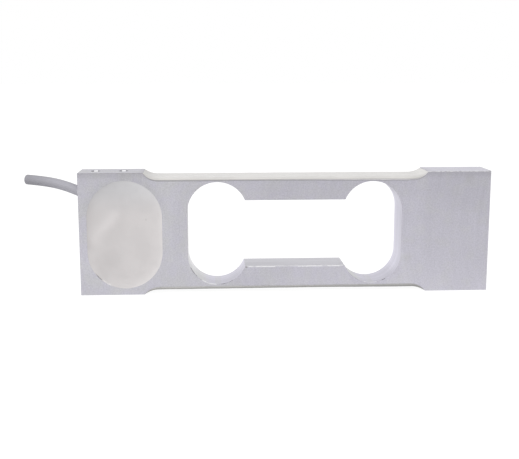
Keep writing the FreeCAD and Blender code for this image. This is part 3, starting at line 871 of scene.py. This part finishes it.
def pocket_loop(count):
    """The obround pocket's line as angles about two centres: for each point its angle and its centre's
    height over the middle; the angle stands still along the two straights."""
    arc = math.pi * POCKET_RADIUS
    straight = 2 * POCKET_HALF_STRAIGHT
    knots = np.cumsum([0, arc, straight, arc, straight])
    way = np.linspace(0, knots[-1], count, endpoint=False)
    angle = np.interp(way, knots, [0, math.pi, math.pi, TURN, TURN])
    height = np.interp(way, knots, np.array([1, 1, -1, -1, 1]) * POCKET_HALF_STRAIGHT)
    return angle, height


def bump_at(x, z, centre, size):
    """A round Gaussian hill of height 1 about a place on the front."""
    return np.exp(-((x - centre[0]) ** 2 + (z - centre[1]) ** 2) / size**2)


def ridge_at(x, z, start, end, width):
    """A long Gaussian ridge of height 1 along a line on the front, fading past its ends."""
    start, end = np.array(start), np.array(end)
    way = end - start
    length = np.hypot(*way)
    way = way / length
    along = (x - start[0]) * way[0] + (z - start[1]) * way[1]
    aside = (x - start[0]) * way[1] - (z - start[1]) * way[0]
    past = np.maximum(np.maximum(-along, along - length), 0)
    return np.exp(-(aside**2 + past**2) / width**2)


# Places on the potting's face, with their sizes, and for the painted shades how much darker they are
POTTING_DIMPLES = (
    ((-47.0 * MM, 6.6 * MM), 0.9 * MM),
    ((-52.2 * MM, 5.2 * MM), 1.0 * MM),
    ((-49.3 * MM, 8.0 * MM), 0.7 * MM),
)
POTTING_PIT = (-45.5 * MM, 24.7 * MM)
STREAK = ((-55.6 * MM, 26.0 * MM), (-62.0 * MM, 17.8 * MM))
POTTING_SHADES = (
    ((-56.0 * MM, 31.0 * MM), 8.0 * MM, 0.25),
    ((-58.5 * MM, 9.5 * MM), 6.0 * MM, 0.30),
    ((-63.0 * MM, 25.5 * MM), 3.5 * MM, 0.22),
    (POTTING_PIT, 0.25 * MM, 0.9),
)

# Two pale chips painted as highlights and a dark gap painted as shade along the rim: strength, middle and half
# width in degrees, inset and width
RIM_GLINTS_AND_SHADE = (
    (1.0, -125.5, 3.5, 0.25 * MM, 0.20 * MM),
    (0.8, -116.5, 2.2, 0.25 * MM, 0.20 * MM),
    (-1.0, -136.3, 6.8, 0.10 * MM, 0.16 * MM),
)


def dish(sizes, x, z, inward):
    """How far the potting's face lies below the bar's: a shallow parabolic bowl that curls up at its rim and
    is slightly uneven."""
    bowl = sizes.dish_depth * (1 - (1 - inward / POCKET_RADIUS) ** 2)
    curl = sizes.curl_depth * (1 - np.exp(-inward / sizes.curl_width))
    settle = 1 - np.exp(-inward / (2 * MM))
    sunk = 0.03 * MM + bowl + curl - 0.10 * MM * settle * ridge_at(x, z, *STREAK, 2.2 * MM)
    for centre, size in POTTING_DIMPLES:
        sunk = sunk + 0.05 * MM * settle * bump_at(x, z, centre, size)
    sunk = sunk + 0.10 * MM * bump_at(x, z, POTTING_PIT, 0.22 * MM)
    return sunk + 0.02 * MM * settle * uneven(x - 0.6 * z, 0.7, (13.0, 6.1))


def potting_points(sizes, loop=320, rings=80):
    """The potting as one closed sheet: from the middle of its dished face out to the rim, back along the
    pocket's wall, and in over the pocket's floor. Every ring is the pocket's line drawn in towards its
    straight middle line."""
    angle, height = pocket_loop(loop)
    inward = POCKET_RADIUS * np.linspace(1, 0, rings) ** 1.6
    share = np.concatenate([1 - inward / POCKET_RADIUS, [1, 0.5, 0]])[:, None]
    x = POCKET_CENTRE_X + share * POCKET_RADIUS * np.cos(angle)
    z = POCKET_CENTRE_Z + height + share * POCKET_RADIUS * np.sin(angle)
    y = np.full_like(x, POCKET_FLOOR_Y)
    face = slice(0, rings)
    y[face] = -HALF_WIDTH + dish(sizes, x[face], z[face], inward[:, None])
    return np.stack([x, y, z], axis=-1)


def rim_bell(turn, away, middle, half, inset, width):
    """A mark of height 1 on the rim: a flat-topped bell about an angle, times a Gaussian about an inset."""
    return np.exp(-(((turn - middle) / half) ** 4) - ((away - POCKET_RADIUS + inset) / width) ** 2)


def set_cast_tone_and_shading(piece):
    """Stores the potting's tone at each point, where less is darker: painted light at the rim on the lit side and
    along the streak's ridge, lighter on a pale stretch of the left rim, and painted shade in its shades. Stores
    the rim's marks too: two chips painted as highlights and a gap painted as shade."""
    count = len(piece.data.vertices)
    place = np.empty(count * 3)
    piece.data.vertices.foreach_get("co", place)
    x, _, z = place.reshape(-1, 3).T
    aside = x - POCKET_CENTRE_X
    above = z - np.clip(z, POCKET_CENTRE_Z - POCKET_HALF_STRAIGHT, POCKET_CENTRE_Z + POCKET_HALF_STRAIGHT)
    away = np.hypot(aside, above)
    lit = (0.85 * aside + 0.55 * np.abs(above)) / POCKET_RADIUS
    rim = np.exp((away - POCKET_RADIUS) / (1.6 * MM))
    left = ease(-aside / POCKET_RADIUS, 0.5, 0.9)
    pale = left * ease(z, 5 * MM, 8 * MM) * (1 - ease(z, 13.5 * MM, 17 * MM))
    tone = 0.6 + 0.3 * lit * rim + 0.55 * pale * rim + 0.3 * ridge_at(x, z, *STREAK, 1.8 * MM)
    tone = tone - sum(depth * bump_at(x, z, centre, size) for centre, size, depth in POTTING_SHADES)
    store(piece, "cast_tone_and_shading", np.clip(tone, 0, 1))
    turn = np.degrees(np.arctan2(above, aside))
    marks = sum(strength * rim_bell(turn, away, *mark) for strength, *mark in RIM_GLINTS_AND_SHADE)
    store(piece, "rim_glint_and_shade", np.clip(marks, -1, 1))


def seal_points(sizes, count=72, steps=9):
    """The curl of potting round the cable where it leaves the end face: for each angle a quadratic curve
    from the face, past the corner, to the cable's side, closed through the corner inside."""
    angle = np.linspace(0, TURN, count, endpoint=False)[None, :]
    run = Vector(CABLE_ROUTE[2]) - Vector(CABLE_ROUTE[1])
    slope = run.z / run.x
    stretch_z = math.hypot(1, slope)
    radius = sizes.jacket_diameter / 2
    width = sizes.seal_width * (1 + 0.25 * np.sin(2 * angle + 1) + 0.12 * np.sin(5 * angle))
    share = np.linspace(0, 1, steps)[:, None]
    out = width * (share**2)
    aside = radius + width * (1 - share) ** 2
    inside = np.full_like(angle, radius - 0.1 * MM)
    sunk = np.full_like(angle, -0.2 * MM)
    out = np.concatenate([out, width, sunk, sunk])
    aside = np.concatenate([aside, inside, inside, aside[:1]])
    x = END_X - out
    y = CABLE_EXIT[1] + aside * np.cos(angle)
    z = CABLE_EXIT[2] - slope * out + aside * stretch_z * np.sin(angle)
    return np.stack([x, y, z], axis=-1)


# Threads


def thread_points(sizes, x, flip, around=56, rows_per_turn=10):
    """A thread in one hole: a sleeve whose inside is the bore less a triangular ridge that climbs one pitch
    a turn and runs out at both ends, and whose outside lies just in the metal."""
    depth = BORE_DEPTH - 1.0 * MM
    turns = (depth - MOUTH_DEPTH) / sizes.thread_pitch
    down = np.linspace(MOUTH_DEPTH, depth, int(turns * rows_per_turn))[:, None]
    angle = np.linspace(0, TURN, around, endpoint=False)[None, :]
    phase = (down / sizes.thread_pitch - angle / TURN - 0.25) % 1
    ridge = 1 - np.abs(2 * phase - 1)
    ends = np.clip((down - MOUTH_DEPTH) / (0.2 * MM), 0, 1) * np.clip((depth - down) / (1.2 * MM), 0, 1)
    radius = BORE_RADIUS - sizes.thread_depth * ridge * ends
    outside = np.full((2, around), BORE_RADIUS + 0.02 * MM)
    radius = np.concatenate([radius, outside])
    down = np.concatenate([down, down[-1:], down[:1]]) * np.ones_like(angle)
    z = down if flip else BAR_HEIGHT - down
    return np.stack([x + radius * np.cos(angle), radius * np.sin(angle), z], axis=-1)


# Burrs on the milled edges, coloured bright as painted highlights, and nicks coloured dark as painted shade


def rim_arc(centre, radius, from_deg, to_deg, count=160):
    """Points of an arc in the front face's plane about a centre."""
    angle = np.radians(np.linspace(from_deg, to_deg, count))
    x, z = centre[0] + radius * np.cos(angle), centre[1] + radius * np.sin(angle)
    return np.stack([x, np.zeros(count), z], axis=-1)


def edge_run(x_from, x_to, z, count=320):
    """Points of a level straight edge of the front face."""
    x = np.linspace(x_from, x_to, count)
    return np.stack([x, np.zeros(count), np.full(count, z)], axis=-1)


def burr_points(line, thickest, phase, around=10):
    """A thin ragged bead along an edge, just inside the front face: a ring square to the line at each point,
    whose radius comes and goes with a sum of sines and falls to nothing at both ends."""
    thickest = thickest * 0.98
    ahead = np.gradient(line, axis=0)
    ahead = ahead / np.linalg.norm(ahead, axis=1)[:, None]
    aside = np.cross(ahead, (0, 1, 0))
    way = np.concatenate([[0], np.cumsum(np.linalg.norm(np.diff(line, axis=0), axis=1))])
    rough = 0.5 + 0.5 * uneven(way, phase, (5.3, 2.1, 0.9))
    radius = thickest * np.clip(0.35 + rough, 0.2, 1)
    radius = radius * soft_edge(np.minimum(way, way[-1] - way), 0.8 * MM)
    angle = np.linspace(0, TURN, around, endpoint=False)
    ring = aside[:, None] * np.cos(angle)[:, None] + np.array([0, 1, 0]) * np.sin(angle)[:, None]
    centre = line + np.array([0, thickest - HALF_WIDTH, 0])
    return centre[:, None] + radius[:, None, None] * ring


POCKET_LOW = (POCKET_CENTRE_X, POCKET_CENTRE_Z - POCKET_HALF_STRAIGHT)
# Thin burrs in bright cut metal, as painted highlights along the edges: each with its line and its share of the
# burr radius.
GLINTING_BURRS = {
    "slot_edge_glint_burr": (edge_run(*SLOT_ENDS_X, SLOT_LOW_Z), 0.9),
    "cable_lobe_glint_burr": (rim_arc(CABLE_LOBE, LOBE_RADIUS, -123, -92), 1.3),
    "free_lobe_glint_burr": (rim_arc(FREE_LOBE, LOBE_RADIUS, -106, -78), 0.8),
    "pocket_rim_glint_burr": (rim_arc(POCKET_LOW, POCKET_RADIUS, -129, -112), 1.8),
}
# Thin nicks in dark metal, as painted shade in the notches and gaps of the edges: each with its line and its
# share of the burr radius.
SHADED_NICKS = {
    "cable_lobe_shade_nick": (rim_arc(CABLE_LOBE, LOBE_RADIUS, -156, -134), 1.4),
    "cable_lobe_foot_shade_nick": (rim_arc(CABLE_LOBE, LOBE_RADIUS, -84, -58), 0.7),
    "slot_foot_shade_nick": (edge_run(-13.6 * MM, -12.8 * MM, SLOT_LOW_Z - 0.08 * MM), 1.3),
    "slot_head_shade_nick": (edge_run(18.2 * MM, 19.2 * MM, SLOT_HIGH_Z + 0.06 * MM), 1.3),
    "free_lobe_shade_nick": (rim_arc(FREE_LOBE, LOBE_RADIUS, -72, -60), 1.3),
    "free_foot_shade_nick": (edge_run(53.5 * MM, 66.6 * MM, 0.12 * MM), 1.0),
    "pocket_rim_shade_nick": (rim_arc(POCKET_LOW, POCKET_RADIUS, -141, -129), 1.3),
}


# Cable


def cable_line():
    """The cable's smooth middle line: points read from a NURBS spline on its route."""
    curve = bpy.data.curves.new("cable_line", "CURVE")
    curve.dimensions = "3D"
    spline = curve.splines.new("NURBS")
    spline.points.add(len(CABLE_ROUTE) - 1)
    for point, place in zip(spline.points, CABLE_ROUTE):
        point.co = (*place, 1.0)
    spline.order_u = 3
    spline.use_endpoint_u = True
    spline.resolution_u = 24
    holder = bpy.data.objects.new("cable_line", curve)
    mesh = bpy.data.meshes.new_from_object(holder)
    line = np.empty(len(mesh.vertices) * 3)
    mesh.vertices.foreach_get("co", line)
    bpy.data.objects.remove(holder)
    bpy.data.curves.remove(curve)
    bpy.data.meshes.remove(mesh)
    return line.reshape(-1, 3)


def tube_points(line, sizes, around=64):
    """A tube along a line: rings of the outer radius to the cut end, over its rounded rim, and back along
    the bore, so that the sheet closes both ways. Each ring lies square to the line."""
    outer = sizes.jacket_diameter / 2
    bore = sizes.jacket_bore / 2
    lip = 0.10 * MM
    ahead = np.gradient(line, axis=0)
    ahead = ahead / np.linalg.norm(ahead, axis=1)[:, None]
    tip, tip_ahead = line[-1:], ahead[-1:]
    bends = np.linspace(0, math.pi / 2, 5)[1:, None]
    rim = tip - tip_ahead * lip * (1 - np.sin(bends))
    body = slice(0, -1)
    centres = np.concatenate([line[body], rim, tip, line[::-1]])
    count = len(line)
    rim_radius = outer - lip * (1 - np.cos(bends[:, 0]))
    radius = np.concatenate([np.full(count - 1, outer), rim_radius, [bore + lip], np.full(count, bore)])
    heading = np.concatenate([ahead[body], np.repeat(tip_ahead, len(bends) + 1, 0), ahead[::-1]])
    aside = np.cross(heading, (0, 0, 1))
    aside = aside / np.linalg.norm(aside, axis=1)[:, None]
    upward = np.cross(aside, heading)
    angle = np.linspace(0, TURN, around, endpoint=False)
    ring = aside[:, None] * np.cos(angle)[:, None] + upward[:, None] * np.sin(angle)[:, None]
    points = centres[:, None] + radius[:, None, None] * ring
    steps = np.linalg.norm(np.diff(centres, axis=0), axis=1)
    return points, np.concatenate([[0], np.cumsum(steps)])


def set_tube_map(piece, rows, around, way):
    """Stores a map on the tube: along it in metres and once round it, as one strip a ring."""
    row, column = np.divmod(np.arange(rows * around), around)
    next_row = np.minimum(row + 1, rows - 1)
    u = np.stack([way[row], way[next_row], way[next_row], way[row]], axis=-1)
    v = np.stack([column, column, column + 1, column + 1], axis=-1) / around
    layer = piece.data.uv_layers.new(name="UVMap")
    layer.uv.foreach_set("vector", np.stack([u, v], axis=-1).astype(np.float32).ravel())


# Operators

WHITE = (1, 1, 1, 1)
FLOOR_REACH = 4.0
FLOOR_GAP = 0.02 * MM


class LOADCELL_OT_stage(bpy.types.Operator):
    """Sets the white floor, the soft lamps and the camera"""

    bl_idname = "load_cell.stage"
    bl_label = "Stage"

    def execute(self, context):
        stage = context.scene.load_cell_stage
        context.scene.view_settings.view_transform = "Standard"
        self.light_all_round(context.scene, stage)
        self.lay_floor(context.scene)
        self.hang_lamp("key_lamp", (-0.50, -0.34, 0.32), 0.5, stage.key_power)
        self.hang_lamp("fill_lamp", (0.45, -0.35, 0.25), 0.4, stage.fill_power)
        camera = bpy.data.cameras.new("camera")
        camera.lens = stage.lens
        stand = bpy.data.objects.new("camera", camera)
        stand.location = stage.camera_place
        stand.rotation_euler = stage.camera_turn
        context.scene.collection.objects.link(stand)
        context.scene.camera = stand
        return {"FINISHED"}

    def seen(self, tree):
        """1 for rays that show a surface to the camera, straight or by reflection or glass."""
        path = add(tree, "ShaderNodeLightPath").outputs
        return most(tree, path["Is Camera Ray"], path["Is Glossy Ray"], path["Is Transmission Ray"])

    def pool(self, tree):
        """How bright the floor shows in the metal: white beside and behind the part, fainter far in front."""
        x, y, _ = split(tree, add(tree, "ShaderNodeTexCoord").outputs["Object"])
        aside = most(tree, less(tree, off(tree, x, -30 * MM), 60 * MM), 0.0)
        away = span(tree, aside, calc(tree, "MINIMUM", y, 0.0))
        return remap(tree, away, 10 * MM, 280 * MM, 1.0, 0.32)

    def light_all_round(self, scene, stage):
        """A white surround where it is seen; elsewhere soft light, stronger from the upper left."""
        world = bpy.data.worlds.new("surround")
        world.use_nodes = True
        tree = world.node_tree
        tree.nodes.clear()
        way = add(tree, "ShaderNodeTexCoord").outputs["Generated"]
        source = Vector((-0.75, -0.6, 0.58)).normalized()
        facing = add(tree, "ShaderNodeVectorMath", {0: way, 1: source}, operation="DOT_PRODUCT").outputs["Value"]
        soft = calc(tree, "MULTIPLY_ADD", most(tree, facing, 0.0), stage.slant, stage.ambient)
        strength = calc(tree, "MULTIPLY_ADD", self.seen(tree), less(tree, 1.0, soft), soft)
        sky = add(tree, "ShaderNodeBackground", {"Color": WHITE, "Strength": strength})
        add(tree, "ShaderNodeOutputWorld", {"Surface": sky.outputs[0]})
        scene.world = world

    def lay_floor(self, scene):
        """A wide pale floor just under the part, white where it is seen, with the part's soft shadow."""
        corners = np.array([[-1, -1, 0], [1, -1, 0], [1, 1, 0], [-1, 1, 0]]) * FLOOR_REACH
        corners[:, 2] = -FLOOR_GAP
        mesh = bpy.data.meshes.new("floor")
        mesh.from_pydata(corners.tolist(), [], [[0, 1, 2, 3]])
        material = bpy.data.materials.new("floor_white")
        material.use_nodes = True
        tree = material.node_tree
        tree.nodes.clear()
        path = add(tree, "ShaderNodeLightPath").outputs
        glow = add(tree, "ShaderNodeEmission", {"Color": WHITE, "Strength": 0.95}).outputs[0]
        shadowed = add(tree, "ShaderNodeBsdfDiffuse", {"Color": (0.16, 0.16, 0.16, 1)}).outputs[0]
        shown = add(tree, "ShaderNodeAddShader", {0: glow, 1: shadowed}).outputs[0]
        mirrored = add(tree, "ShaderNodeEmission", {"Color": WHITE, "Strength": self.pool(tree)}).outputs[0]
        pale = add(tree, "ShaderNodeBsdfDiffuse", {"Color": (0.5, 0.5, 0.5, 1)}).outputs[0]
        share = most(tree, path["Is Camera Ray"], path["Is Transmission Ray"])
        straight = add(tree, "ShaderNodeMixShader", {0: share, 1: pale, 2: shown}).outputs[0]
        sockets = {0: path["Is Glossy Ray"], 1: straight, 2: mirrored}
        both = add(tree, "ShaderNodeMixShader", sockets).outputs[0]
        add(tree, "ShaderNodeOutputMaterial", {"Surface": both})
        mesh.materials.append(material)
        floor = bpy.data.objects.new("floor", mesh)
        scene.collection.objects.link(floor)

    def hang_lamp(self, name, place, size, power):
        """A square soft lamp that points at the part's middle."""
        lamp = bpy.data.lights.new(name, "AREA")
        lamp.size = size
        lamp.energy = power
        holder = bpy.data.objects.new(name, lamp)
        holder.location = place
        aim = Vector((0, 0, BAR_HEIGHT / 2)) - Vector(place)
        holder.rotation_euler = aim.to_track_quat("-Z", "Y").to_euler()
        holder.visible_camera = False
        holder.visible_glossy = False
        bpy.context.scene.collection.objects.link(holder)


class LOADCELL_OT_cable(bpy.types.Operator):
    """Lays the cable's jacket along its route"""

    bl_idname = "load_cell.cable"
    bl_label = "Cable"

    def execute(self, context):
        sizes = context.scene.load_cell_sizes
        material = jacket_plastic(context.scene.load_cell_colours)
        line = cable_line()
        points, way = tube_points(line, sizes)
        rows, around = points.shape[:2]
        faces = grid_faces(rows, around, close_rows=True, close_columns=True)
        jacket = make_piece("cable_sheath", points, faces, material, merge=False)
        set_tube_map(jacket, rows, around, way)
        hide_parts("cable_jacket")
        return {"FINISHED"}


class LOADCELL_OT_bar(bpy.types.Operator):
    """Gives the bar its blasted and milled finish with its painted light and shade, cuts its threads and leaves
    burrs and nicks on its edges, coloured as painted highlights and painted shade
    """

    bl_idname = "load_cell.bar"
    bl_label = "Bar, threads and burrs"

    def execute(self, context):
        colours = context.scene.load_cell_colours
        sizes = context.scene.load_cell_sizes
        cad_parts["beam_body"].material_slots[0].material = bar_metal(colours)
        bright = tuple(colours.metal_cut_and_highlight)
        # Painted shade on the threads' flanks, a painted highlight on the burrs and painted shade in the nicks.
        thread_metal = cut_metal("thread_metal", bright, 0.35, shade(colours.metal, 0.25))
        burr_glint_metal = cut_metal("burr_glint_metal", bright, 0.4)
        nick_shade_metal = cut_metal("nick_shade_metal", shade(colours.metal, 0.3), 0.5)
        for end, side in (("cable_end", -1), ("free_end", 1)):
            for number, x in enumerate(HOLE_PLACES_X, 1):
                points = thread_points(sizes, side * x, side > 0)
                rows, around = points.shape[:2]
                faces = grid_faces(rows, around, close_rows=True, close_columns=True)
                if side > 0:
                    faces = faces[:, ::-1]
                make_piece(f"{end}_thread_{number}", points, faces, thread_metal, merge=False)
        for burrs, finish in ((GLINTING_BURRS, burr_glint_metal), (SHADED_NICKS, nick_shade_metal)):
            for phase, (name, (line, share)) in enumerate(burrs.items(), 1):
                points = burr_points(line, share * sizes.burr_radius, phase)
                faces = grid_faces(*points.shape[:2], close_columns=True)
                make_piece(name, points, faces, finish)
        return {"FINISHED"}


class LOADCELL_OT_coatings(bpy.types.Operator):
    """Spreads the silicone over the upper and the lower gauges"""

    bl_idname = "load_cell.coatings"
    bl_label = "Coatings"

    def execute(self, context):
        sizes = context.scene.load_cell_sizes
        colours = context.scene.load_cell_colours
        upper, lower = tuple(colours.coat), tuple(colours.coat_low_shaded)
        shapes = {
            "upper": (0.4, np.ones_like, sizes.coat_round),
            "lower": (2.3, low_share, sizes.coat_low_round),
        }
        # Each coating's colour, its edge colour lightened as painted light, and its painted lean towards the
        # cable end; the lower coating's own colour is already darker, as painted shade.
        looks = {
            "upper": (upper, tint(upper, 1.13, 1.125, 1.11), 0.0),
            "lower": (lower, tint(lower, 1.09, 1.09, 1.10), 0.22),
        }
        for side in ("upper", "lower"):
            finish = coat_silicone_painted_shading(f"{side}_coat_silicone_painted_shading", *looks[side])
            points = coating_points(sizes, *shapes[side])
            silicone = coating_piece(f"{side}_silicone", points, finish, side == "lower")
            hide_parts(f"{side}_gauge_coating")
        return {"FINISHED"}


class LOADCELL_OT_potting(bpy.types.Operator):
    """Fills the pocket and seals the cable's entry"""

    bl_idname = "load_cell.potting"
    bl_label = "Potting"

    def execute(self, context):
        sizes = context.scene.load_cell_sizes
        material = potting_resin(context.scene.load_cell_colours)
        points = potting_points(sizes)
        faces = grid_faces(*points.shape[:2], close_columns=True)
        cast = make_piece("pocket_cast", points, faces, material)
        set_cast_tone_and_shading(cast)
        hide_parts("pocket_potting")
        points = seal_points(sizes)
        faces = grid_faces(*points.shape[:2], close_rows=True, close_columns=True)
        seal = make_piece("cable_entry_seal", points, faces, material, merge=False)
        count = len(seal.data.vertices)
        store(seal, "cast_tone_and_shading", np.full(count, 0.8))
        store(seal, "rim_glint_and_shade", np.zeros(count))
        return {"FINISHED"}


class LOADCELL_OT_insides(bpy.types.Operator):
    """Finishes what lies under the coatings, in the potting and in the cable"""

    bl_idname = "load_cell.insides"
    bl_label = "Insides"

    def execute(self, context):
        looks = {
            "gauge_film": (srgb(186, 120, 36), srgb(206, 146, 58), clouds, 0.35),
            "gauge_grid": (srgb(184, 156, 126), srgb(208, 184, 156), brushed, 0.3, 1.0),
            "gauge_leads": (srgb(138, 62, 34), srgb(164, 88, 48), twist, 0.3, 0.6),
            "solder": (srgb(176, 178, 182), srgb(212, 214, 218), clouds, 0.3, 1.0),
            "circuit_board": (srgb(30, 86, 54), srgb(64, 122, 70), traces, 0.4),
            "board_tape": (srgb(210, 204, 188), srgb(232, 228, 216), clouds, 0.8),
            "resistor": (srgb(34, 34, 36), srgb(206, 206, 208), end_caps, 0.4),
            "cable_shield": (srgb(132, 122, 114), srgb(214, 204, 194), weave, 0.35, 1.0),
            "core_red": (srgb(166, 28, 28), srgb(184, 42, 40), clouds, 0.45),
            "core_black": (srgb(24, 24, 26), srgb(38, 38, 40), clouds, 0.45),
            "core_green": (srgb(32, 108, 58), srgb(48, 130, 74), clouds, 0.45),
            "core_white": (srgb(218, 217, 212), srgb(232, 231, 227), clouds, 0.45),
            "core_conductors": (srgb(176, 168, 158), srgb(222, 214, 204), twist, 0.3, 1.0),
        }
        finishes = {name: patterned(f"{name}_finish", *look) for name, look in looks.items()}
        for name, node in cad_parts.items():
            for ending, material in finishes.items():
                if name.endswith(ending):
                    node.material_slots[0].material = material
        return {"FINISHED"}


class LOADCELL_PT_pieces(bpy.types.Panel):
    """Lists the load cell's pieces and its sizes, colours and stage"""

    bl_label = "Load cell"
    bl_space_type = "VIEW_3D"
    bl_region_type = "UI"
    bl_category = "Load cell"

    def draw(self, context):
        for step in STEPS:
            self.layout.operator(f"load_cell.{step}")
        for name in GROUPS:
            group = getattr(context.scene, f"load_cell_{name}")
            box = self.layout.box()
            for field in group.__annotations__:
                box.prop(group, field)


STEPS = ("stage", "cable", "bar", "coatings", "potting", "insides")
GROUPS = {"sizes": LoadCellSizes, "colours": LoadCellColours, "stage": LoadCellStage}
CLASSES = (
    *GROUPS.values(),
    LOADCELL_OT_stage,
    LOADCELL_OT_cable,
    LOADCELL_OT_bar,
    LOADCELL_OT_coatings,
    LOADCELL_OT_potting,
    LOADCELL_OT_insides,
    LOADCELL_PT_pieces,
)


def register():
    """Registers the classes and hangs the property groups on the scene."""
    for part in CLASSES:
        bpy.utils.register_class(part)
    for name, group in GROUPS.items():
        setattr(bpy.types.Scene, f"load_cell_{name}", bpy.props.PointerProperty(type=group))


def unregister():
    """Undoes what register did."""
    for name in GROUPS:
        delattr(bpy.types.Scene, f"load_cell_{name}")
    for part in reversed(CLASSES):
        bpy.utils.unregister_class(part)


def main():
    """Makes the pieces in order."""
    register()
    for step in STEPS:
        getattr(bpy.ops.load_cell, step)()
    bpy.context.view_layer.update()


if __name__ == "__main__":
    main()
